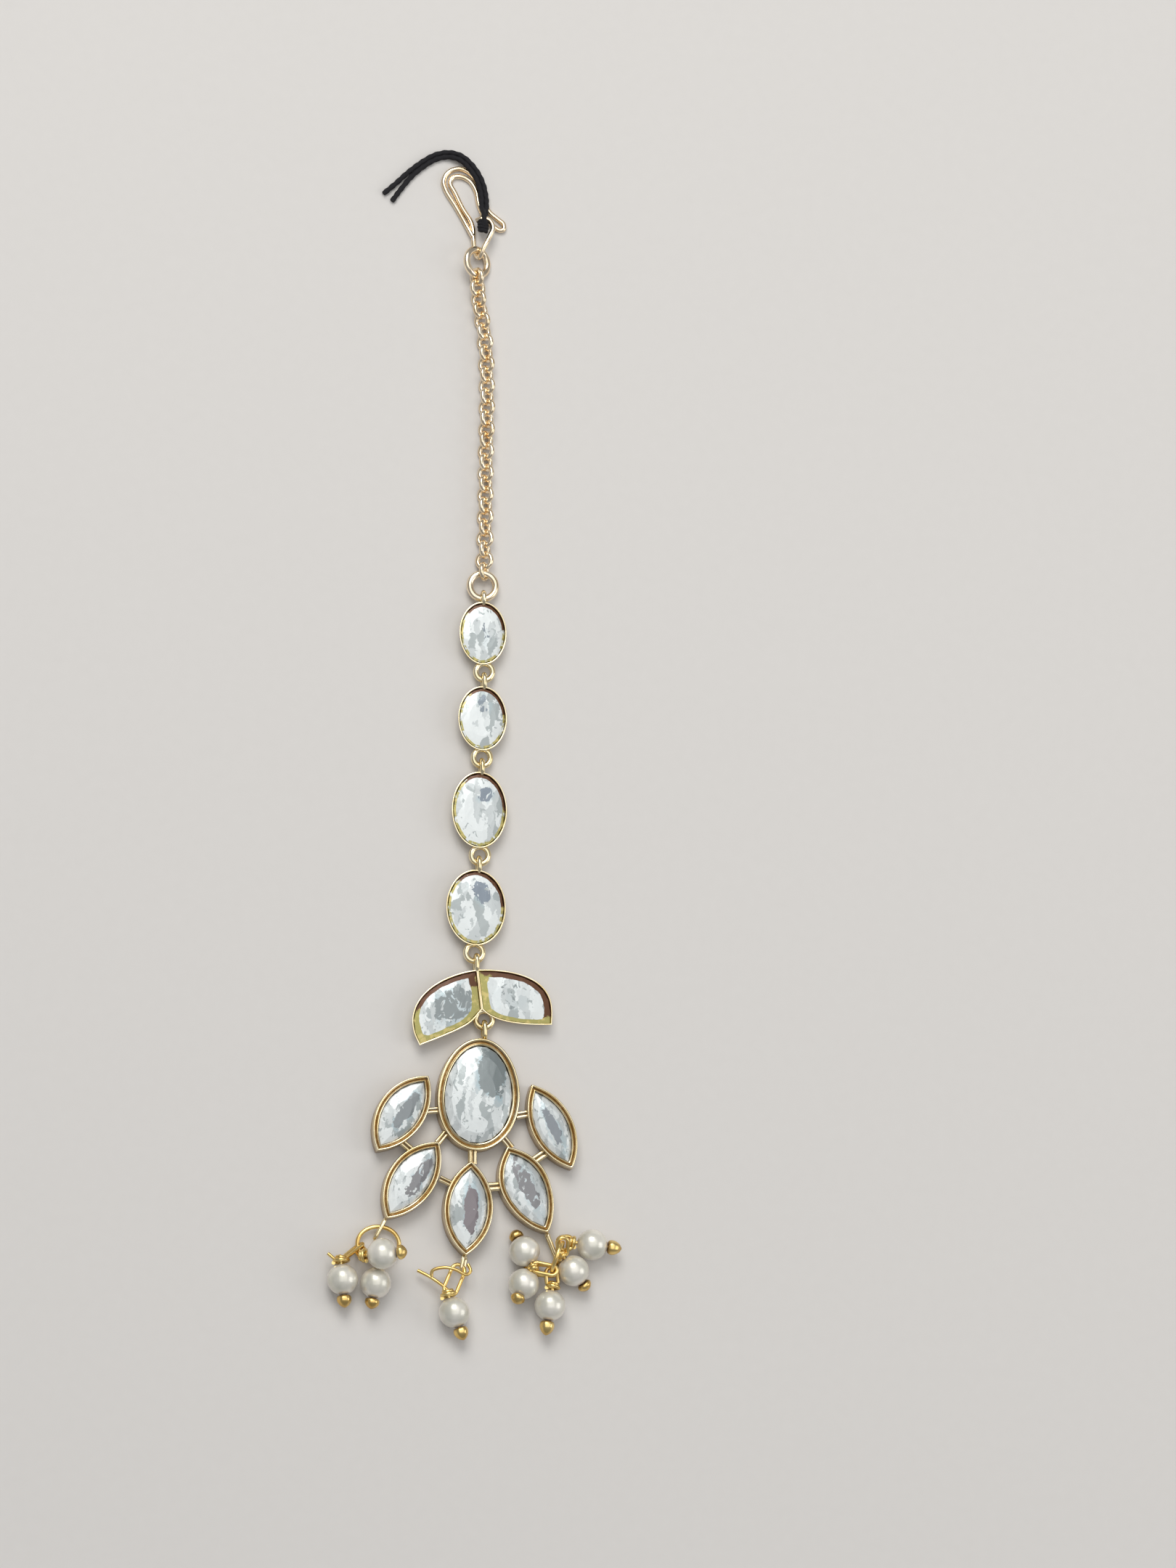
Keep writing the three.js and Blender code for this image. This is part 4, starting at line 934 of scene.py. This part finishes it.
class PENDANT_OT_thread(bpy.types.Operator):
    """Lay the doubled thread round the hook's eye, with its knot"""

    bl_idname = "pendant.thread"
    bl_label = "Thread and knot"

    def execute(self, context):
        sizes, colours = context.scene.pendant_sizes, context.scene.pendant_colours
        route = np.concatenate([strand(-1), THREAD_TURN, strand(1)[::-1]])
        path = at(evenly(through_points(route, 24), 400))
        path[:, 2] = np.maximum(path[:, 2], sizes.thread / 2 * TWIST["largest"])
        cotton = black_thread(colours)
        thread = add_piece("hair_thread_twist", [self.twisted(path, sizes.thread / 2)], cotton,
                           ["hair_thread"], 60)
        knot = add_piece("hair_thread_knot", self.knot(sizes.knot / 2), cotton,
                         ["thread_knot"], 60)
        return {"FINISHED"}

    def twisted(self, path, radius):
        """Two plies: the section's radius swells twice round, with the cosine of the doubled angle, and
        the swelling turns along the thread, once in each pitch."""
        sides = 16
        along = np.linspace(0, path_length(path), len(path))[:, None]
        angle = np.arange(sides)[None, :] / sides * 2 * np.pi
        ply = np.cos(2 * (angle - 2 * np.pi * along / (TWIST["pitch"] * MM)))
        swell = TWIST["largest"] - TWIST["swell"] + TWIST["swell"] * ply
        turn = np.clip((TWIST["turn_from"] - path[:, 1:2] / MM) / TWIST["turn_over"], 0, 1)
        reference = (1 - turn) * Z_AXIS + turn * X_AXIS
        return wire(path, radius * swell, sides, reference)

    def knot(self, radius):
        """Turns of thread round the doubled strand, the middle ones wider, as a helix pulled tight."""
        share = np.linspace(0, 1, 140)[:, None]
        angle = share * KNOT["turns"] * 2 * np.pi
        spread = KNOT["radius"] * (KNOT["ends"] + (1 - KNOT["ends"]) * np.sin(np.pi * share))
        centre = np.array([KNOT["x"], KNOT["y"], KNOT["z"]])
        line = centre + spread * (np.cos(angle) * X_AXIS + np.sin(angle) * Z_AXIS)
        line = line + KNOT["height"] * (share - 0.5) * Y_AXIS
        return [wire(at(line), radius, 12, Y_AXIS)]


class PENDANT_OT_hook(bpy.types.Operator):
    """Bend the hook and hang its ring"""

    bl_idname = "pendant.hook"
    bl_label = "Hook and its ring"

    def execute(self, context):
        sizes, plate = context.scene.pendant_sizes, champagne_plate(context.scene.pendant_colours)
        bend = at(evenly(through_points(HOOK_BEND, 12), 260))
        eye = at(evenly(through_points(HOOK_EYE, 12), 120))
        shells = [wire(line, sizes.hook_wire / 2, 16, HOOK_UP) for line in (bend, eye)]
        add_piece("hook_wire", shells, plate, ["hook"])
        lean = np.radians(HOOK_RING["lean"])
        ring = torus(at((HOOK_RING["x"], HOOK_RING["y"], HOOK_RING["z"])), HOOK_RING["radius"] * MM,
                     sizes.hook_ring_wire / 2, np.array([np.sin(lean), 0, np.cos(lean)]))
        add_piece("hook_jump_ring", [ring], plate, ["hook_ring"])
        return {"FINISHED"}


class PENDANT_OT_chain(bpy.types.Operator):
    """Run the chain from the hook's ring to the ring above the stones"""

    bl_idname = "pendant.chain"
    bl_label = "Chain and its ring"

    def execute(self, context):
        sizes, plate = context.scene.pendant_sizes, champagne_plate(context.scene.pendant_colours)
        add_piece("rolo_chain", self.links(sizes.link_wire), plate, ["chain"])
        ring = torus(at((CHAIN_RING["x"], CHAIN_RING["y"], LINK_HEIGHT)), CHAIN_RING["radius"] * MM,
                     sizes.chain_ring_wire / 2, Z_AXIS)
        add_piece("chain_jump_ring", [ring], plate, ["chain_ring"])
        return {"FINISHED"}

    def links(self, thickness):
        """Each link is an oval of wire on the route, a quarter turn round it from the one before. Near
        each end of the chain the roll moves evenly from its value there to that of the middle."""
        last = LINK["count"] - 1
        route = evenly(through_points(CHAIN_ROUTE, 40), last * LINK["steps"] + 1)
        places = evenly(route, LINK["count"])
        slopes = unit(np.gradient(route, axis=0)[:: LINK["steps"]])
        reach = (path_length(route) / last - LINK["bite"] + thickness / MM) / 2
        width = LINK["hole_width"] + thickness / MM
        number = np.arange(LINK["count"])
        stations = [0, CHAIN_ROLL["over"], last - CHAIN_ROLL["over"], last]
        rolls = [CHAIN_ROLL[key] for key in ("first", "middle", "middle", "last")]
        roll = np.interp(number, stations, rolls)
        roll = np.radians(roll + LINK["quarter_turn"] * (number % 2))
        shells = []
        for place, along, turn in zip(places, slopes, roll):
            level = unit(np.cross(along, Z_AXIS))
            through = np.cross(level, along) * np.cos(turn) - level * np.sin(turn)
            start, end = place - along * reach, place + along * reach
            shells.append(loop_of_wire(start, end, width, thickness, through, 26, 10))
        return shells


def bail(x, wall_y, ring_wire_y, ring_wire, thickness):
    """An upright bail from a setting's wall round the wire of the ring above it."""
    top = ring_wire_y + ring_wire / 2 + BAIL_GAP + thickness / MM / 2
    return loop_of_wire((x, wall_y, LINK_HEIGHT), (x, top, LINK_HEIGHT), 2 * BAIL_RADIUS, thickness, X_AXIS)


def flat_ring(x, y, thickness):
    return torus(at((x, y, LINK_HEIGHT)), FLAT_RING_RADIUS * MM, thickness / 2, Z_AXIS, 36, 12)


def cup_wall_shift():
    """How far the wall has drawn in at the height of the rings: its flare, times the share of the
    cup's height that lies above them."""
    return CUP["flare"] * (1 - LINK_HEIGHT / CUP["height"])


class PENDANT_OT_cups(bpy.types.Operator):
    """Make the four oval cups with their rings and bails, and the pair of leaf cups"""

    bl_idname = "pendant.cups"
    bl_label = "Oval and leaf cups"

    def execute(self, context):
        sizes, gold = context.scene.pendant_sizes, gold_plate(context.scene.pendant_colours)
        flat_wire = sizes.flat_ring_wire / MM
        above = {"y": CHAIN_RING["y"] - CHAIN_RING["radius"], "wire": sizes.chain_ring_wire / MM}
        for number, row in enumerate(table(OVAL_COLUMNS, OVALS), 1):
            ring_y = row["y"] - row["height"] / 2 - RING_BELOW_CUP
            foot = row["y"] + row["height"] / 2 - cup_wall_shift() + BAIL_SEAT
            shells = [
                walls(lambda inset: oval_outline(row, inset, 96), CUP_ROWS, EVEN_PATINA_AND_SHADE),
                flat_ring(row["ring_x"], ring_y, sizes.flat_ring_wire),
                bail(row["bail_x"], foot, above["y"], above["wire"], sizes.bail_wire),
            ]
            name = f"oval_setting_{number}"
            add_piece(f"{name}_cup", shells, gold, [name])
            above = {"y": ring_y - FLAT_RING_RADIUS, "wire": flat_wire}
        self.leaves(sizes, gold, above)
        return {"FINISHED"}

    def leaves(self, sizes, gold, above):
        shapes = leaf_polygons()
        shells = [
            walls(lambda inset, shape=shapes[side]: leaf_outline(*shape, inset, 8), CUP_ROWS, EVEN_PATINA_AND_SHADE)
            for side in ("left", "right")
        ]
        shells.append(walls(lambda inset: leaf_outline(*shapes["both"], inset, 8), LEAF_BASE_ROWS))
        shells.append(flat_ring(LEAF_RING["x"], LEAF_RING["y"], sizes.flat_ring_wire))
        foot = LEAF_TOP[1] - cup_wall_shift() + BAIL_SEAT
        shells.append(bail(LEAF_RING["bail_x"], foot, above["y"], above["wire"], sizes.bail_wire))
        add_piece("leaf_setting_cups", shells, gold, ["leaf_setting"])


def facets(rings):
    """Rows of facet corners, each row half a step further round, with triangles between the rows and
    flat faces at both ends."""
    count = len(rings[0])
    points = np.concatenate(rings)
    faces = []
    number = np.arange(count)
    following = (number + 1) % count
    for row in range(len(rings) - 1):
        low, high = row * count, (row + 1) * count
        faces.append(np.stack([low + number, low + following, high + number], axis=1))
        faces.append(np.stack([high + number, low + following, high + following], axis=1))
    faces.append(number[None, ::-1])
    faces.append((number + (len(rings) - 1) * count)[None, :])
    return points, outward(points, faces)


def stone(name, outline_at, cut, corners, shade_side):
    """A cut stone: base and girdle follow the setting, and the crown's rows shrink towards its middle."""
    dense = 2 * corners
    girdle = outline_at(cut["girdle"][0], dense)
    middle = girdle.mean(axis=0)
    rows = [(outline_at(cut["base"][0], dense), cut["base"][1]), (girdle, cut["girdle"][1])]
    rows += [(middle + (girdle - middle) * share, height) for share, height in cut["crown"]]
    rings = []
    for number, (ring, height) in enumerate(rows):
        picked = ring[(2 * np.arange(corners) + number + 1) % dense]
        rings.append(at(np.column_stack([picked, np.full(corners, height)])))
    points, faces = facets(rings)
    patch = dict(zip(PATCH_COLUMNS, PATCHES[name]))
    centre = at((*middle, 0.0))
    # Layers that place the painted wall image and its painted shade, and the foil's patch
    layers = {
        "edge": cut["edge"] * np.repeat([1.0, 1.0] + [0.0] * (len(rings) - 2), corners),
        "brown": unit(points - centre)[:, :2] @ unit(shade_side) - cut["brown"],
        "unbroken": np.full(len(points), cut["unbroken"]),
        "whole": np.full(len(points), patch["whole"]),
        "mauve": np.full(len(points), patch["mauve"]),
        "blue": np.full(len(points), patch["blue"]),
    }
    return {"points": points, "faces": faces, "layers": layers, "uv": foil_map(patch, points, centre)}


def foil_map(patch, points, middle):
    """Coordinates in which the stone's dark patch is the unit circle: the place across and along the
    stone, in shares of half its size, moved, turned and divided by the patch's radii."""
    flat = points[:, :2] - middle[:2]
    centred = flat - flat.mean(axis=0)
    axes = np.linalg.eigh(centred.T @ centred)[1]
    along = axes[:, 1] * np.sign(axes[1, 1] + 1e-9)
    across = np.array([along[1], -along[0]])
    local = np.stack([flat @ across, flat @ along], axis=1)
    local = local / np.abs(local).max(axis=0) - (patch["across"], patch["along"])
    turn = np.radians(patch["turn"])
    local = local @ np.array([[np.cos(turn), -np.sin(turn)], [np.sin(turn), np.cos(turn)]])
    return local / (patch["half_width"], patch["half_length"])


class PENDANT_OT_stones(bpy.types.Operator):
    """Cut the twelve foiled stones"""

    bl_idname = "pendant.stones"
    bl_label = "Stones"

    def execute(self, context):
        glass = foiled_glass(context.scene.pendant_colours)
        for number, row in enumerate(table(OVAL_COLUMNS, OVALS), 1):
            self.add(f"oval_stone_{number}", lambda inset, dense: oval_outline(row, inset, dense),
                     CUP_STONE, STONE_FACETS["cup"], glass)
        shapes = leaf_polygons()
        for side in ("left", "right"):
            polygon, sharp = shapes[side]
            self.add(f"leaf_stone_{side}", lambda inset, dense: leaf_outline(polygon, sharp, inset, 2),
                     LEAF_STONE, len(polygon), glass, LEAF_SHADE[side])
        self.add("fan_oval_stone", lambda inset, dense: oval_outline(FAN_OVAL, inset, dense),
                 FAN_STONE, STONE_FACETS["fan"], glass)
        for number, row in enumerate(table(PETAL_COLUMNS, PETALS), 1):
            self.add(f"petal_stone_{number}", lambda inset, dense: petal_outline(row, inset, dense),
                     PETAL_STONE, STONE_FACETS["petal"], glass)
        return {"FINISHED"}

    def add(self, node, outline_at, cut, corners, glass, shade_side=PAINTED_SHADE_SIDE):
        cut_stone = stone(node, outline_at, cut, corners, shade_side)
        add_piece(f"{node}_cut", [cut_stone], glass, [node], 0)


class PENDANT_OT_fan(bpy.types.Operator):
    """Make the fan: six bezels joined by lugs, with loops at three petal tips"""

    bl_idname = "pendant.fan"
    bl_label = "Fan setting"

    def execute(self, context):
        sizes, gold = context.scene.pendant_sizes, gold_plate(context.scene.pendant_colours)
        shells = [walls(lambda inset: oval_outline(FAN_OVAL, inset, 128), BEZEL_ROWS)]
        petals = table(PETAL_COLUMNS, PETALS)
        for row in petals:
            shells.append(walls(lambda inset: petal_outline(row, inset * PETAL_WALL, 96), BEZEL_ROWS))
        shells += [self.lug(row) for row in table(LUG_COLUMNS, LUGS)]
        for row in table(TIP_LOOP_COLUMNS, TIP_LOOPS):
            petal = petals[row["petal"]]
            start = (petal["to_x"], petal["to_y"] + TIP_LOOP_SEAT, row["z"])
            end = (row["x"], row["y"], row["z"])
            shells.append(loop_of_wire(start, end, row["width"], sizes.tip_loop_wire, row["through"]))
        foot = FAN_OVAL["y"] + FAN_OVAL["height"] / 2 - FAN_BAIL_SEAT
        above = LEAF_RING["y"] - FLAT_RING_RADIUS
        shells.append(bail(LEAF_RING["x"], foot, above, sizes.flat_ring_wire / MM, sizes.bail_wire))
        add_piece("fan_setting_bezels", shells, gold, ["fan_setting"])
        return {"FINISHED"}

    def lug(self, row):
        """A short bar, waisted between the two walls: its section is a circle swollen to a rounded
        square, with a bell-shaped groove along its top."""
        turn = np.radians(row["turn"])
        along = np.array([np.cos(turn), np.sin(turn), 0.0])
        across = np.array([-np.sin(turn), np.cos(turn), 0.0])
        place = np.linspace(-0.5, 0.5, 9)
        waist = 1.0 + LUG_SECTION["waist"] * place**2
        angle = np.arange(32) / 32 * 2 * np.pi
        round_off = (np.abs(np.cos(angle)) ** 4 + np.abs(np.sin(angle)) ** 4) ** -0.25
        share = np.cos(angle) * round_off
        groove = np.where(np.sin(angle) > 0, np.exp(-((share / LUG_SECTION["groove_width"]) ** 2)), 0)
        z = np.sin(angle) * round_off * LUG_SECTION["half_height"] - LUG_SECTION["groove_depth"] * groove
        centre = np.array([row["x"], row["y"], LUG_SECTION["z"]])
        grid = (centre + (place * row["length"])[:, None, None] * along
                + (waist[:, None] * share[None, :] * row["width"] / 2)[:, :, None] * across
                + z[None, :, None] * Z_AXIS)
        # Patina and painted shade darken the groove along the top.
        return shell(at(grid), patina=np.tile(0.1 + 0.8 * groove, (len(place), 1)))


class PENDANT_OT_drop_rings(bpy.types.Operator):
    """Bend the two rings that carry the pearls"""

    bl_idname = "pendant.drop_rings"
    bl_label = "Drop rings"

    def execute(self, context):
        sizes, brass = context.scene.pendant_sizes, brass_wire(context.scene.pendant_colours)
        angle = np.arange(64)[:, None] / 64 * 2 * np.pi
        left = np.array([LEFT_RING["x"], LEFT_RING["y"], LEFT_RING["z"]])
        path = (left + LEFT_RING["across"] * np.cos(angle) * X_AXIS
                + LEFT_RING["along"] * np.sin(angle) * Y_AXIS)
        ring = wire(at(path), sizes.drop_ring_wire / 2, 14, Z_AXIS, closed=True)
        add_piece("left_drop_jump_ring", [ring], brass, ["left_drop_ring"])
        turn, lean = np.radians(RIGHT_RING["turn"]), np.radians(RIGHT_RING["lean"])
        axis = np.array([np.sin(turn) * np.sin(lean), -np.cos(turn) * np.sin(lean), np.cos(lean)])
        ring = torus(at((RIGHT_RING["x"], RIGHT_RING["y"], RIGHT_RING["z"])), RIGHT_RING["radius"] * MM,
                     sizes.drop_ring_wire / 2, axis, 64, 14)
        add_piece("right_drop_jump_ring", [ring], brass, ["right_drop_ring"])
        return {"FINISHED"}


class PENDANT_OT_pearls(bpy.types.Operator):
    """String the nine pearls on their pins"""

    bl_idname = "pendant.pearls"
    bl_label = "Pearls and pins"

    def execute(self, context):
        sizes, colours = context.scene.pendant_sizes, context.scene.pendant_colours
        coat, brass = pearl_coat(colours), brass_wire(colours)
        for number, row in enumerate(table(PEARL_COLUMNS, PEARLS), 1):
            centre = at((row["x"], row["y"], row["z"]))
            axis = unit(row["tip"])
            ball = self.ball(centre, axis, sizes)
            add_piece(f"pearl_{number}_ball", [ball], coat, [f"pearl_{number}"])
            shells = self.pin(row, centre, axis, sizes)
            for line in STRAY_ENDS.get(number, []):
                shells.append(wire(at(through_points(line, 14)), sizes.stray_wire / 2, 10, Z_AXIS))
            add_piece(f"pearl_pin_{number}_wire", shells, brass, [f"pearl_pin_{number}"])
        return {"FINISHED"}

    def ball(self, centre, axis, sizes):
        """A drilled ball: a half circle between the hole's two mouths, and the hole's wall."""
        radius = sizes.pearl / 2
        start = np.arcsin(PEARL_HOLE * MM / sizes.pearl)
        angle = np.linspace(start, np.pi - start, 32)
        return turned(np.stack([radius * np.sin(angle), -radius * np.cos(angle)], axis=1), axis, centre, 48)

    def pin(self, row, centre, axis, sizes):
        """Tip bead, pin, a coil of wire against the pearl, and the eye."""
        start = sizes.pearl / 2 + TIP_BEAD_GAP * MM
        rows = table(TIP_BEAD_COLUMNS, TIP_BEAD)
        radius, share, patina = (np.array([bead[key] for bead in rows]) for key in TIP_BEAD_COLUMNS)
        profile = np.column_stack([radius * MM, start + share * (row["reach"] * MM - start), patina * MM])
        smooth = evenly(through_points(profile, 4), 30)
        shells = [turned(smooth[:, :2], axis, centre, 24, wrap_rows=False, patina=smooth[:, 2] / MM,
                         lobes=TIP_BEAD_LOBES["count"], lobe_depth=TIP_BEAD_LOBES["depth"])]
        eye_start = sizes.pearl / 2 + (COLLAR["gap"] + COLLAR["eye_from"]) * MM
        ends = np.array([[-eye_start], [row["reach"] * PIN_SHARE * MM]])
        shells.append(wire(centre + ends * axis, sizes.pin_wire / 2, 12, PIN_UP))
        side = unit(np.cross(axis, Z_AXIS))
        lift = np.cross(axis, side)
        share = np.linspace(0, 1, 72)[:, None]
        angle = share * COLLAR["turns"] * 2 * np.pi
        base = sizes.pearl / 2 + (COLLAR["gap"] - COLLAR["nearer"] * row["coil"]) * MM + sizes.pin_wire / 2
        spread = row["coil"] + (COLLAR["inner"] - row["coil"]) * share**2
        coil = centre - axis * (base + COLLAR["pitch"] * MM * angle / (2 * np.pi))
        coil = coil + spread * MM * (np.cos(angle) * side + np.sin(angle) * lift)
        shells.append(wire(coil, sizes.pin_wire / 2, 10, axis))
        eye_from = (centre - axis * eye_start) / MM - MIDDLE
        shells.append(loop_of_wire(eye_from, row["eye"], row["width"], sizes.pin_wire, row["through"]))
        return shells


OPERATORS = (
    PENDANT_OT_stage, PENDANT_OT_thread, PENDANT_OT_hook, PENDANT_OT_chain, PENDANT_OT_cups,
    PENDANT_OT_stones, PENDANT_OT_fan, PENDANT_OT_drop_rings, PENDANT_OT_pearls,
)


class PENDANT_PT_panel(bpy.types.Panel):
    """The pendant's sizes, colours and steps."""

    bl_label = "Pendant"
    bl_idname = "PENDANT_PT_panel"
    bl_space_type = "VIEW_3D"
    bl_region_type = "UI"
    bl_category = "Pendant"

    def draw(self, context):
        for group in ("pendant_sizes", "pendant_colours", "pendant_stage"):
            settings = getattr(context.scene, group)
            for name in settings.__annotations__:
                self.layout.prop(settings, name)
        for operator in OPERATORS:
            self.layout.operator(operator.bl_idname)


GROUPS = {"pendant_sizes": PendantSizes, "pendant_colours": PendantColours, "pendant_stage": PendantStage}


def register():
    for new_class in (*GROUPS.values(), *OPERATORS, PENDANT_PT_panel):
        bpy.utils.register_class(new_class)
    for name, group in GROUPS.items():
        setattr(bpy.types.Scene, name, bpy.props.PointerProperty(type=group))


def unregister():
    for name in GROUPS:
        delattr(bpy.types.Scene, name)
    for old_class in (PENDANT_PT_panel, *reversed(OPERATORS), *reversed(GROUPS.values())):
        bpy.utils.unregister_class(old_class)


def main():
    register()
    for operator in OPERATORS:
        group, name = operator.bl_idname.split(".")
        getattr(getattr(bpy.ops, group), name)()


if __name__ == "__main__":
    main()
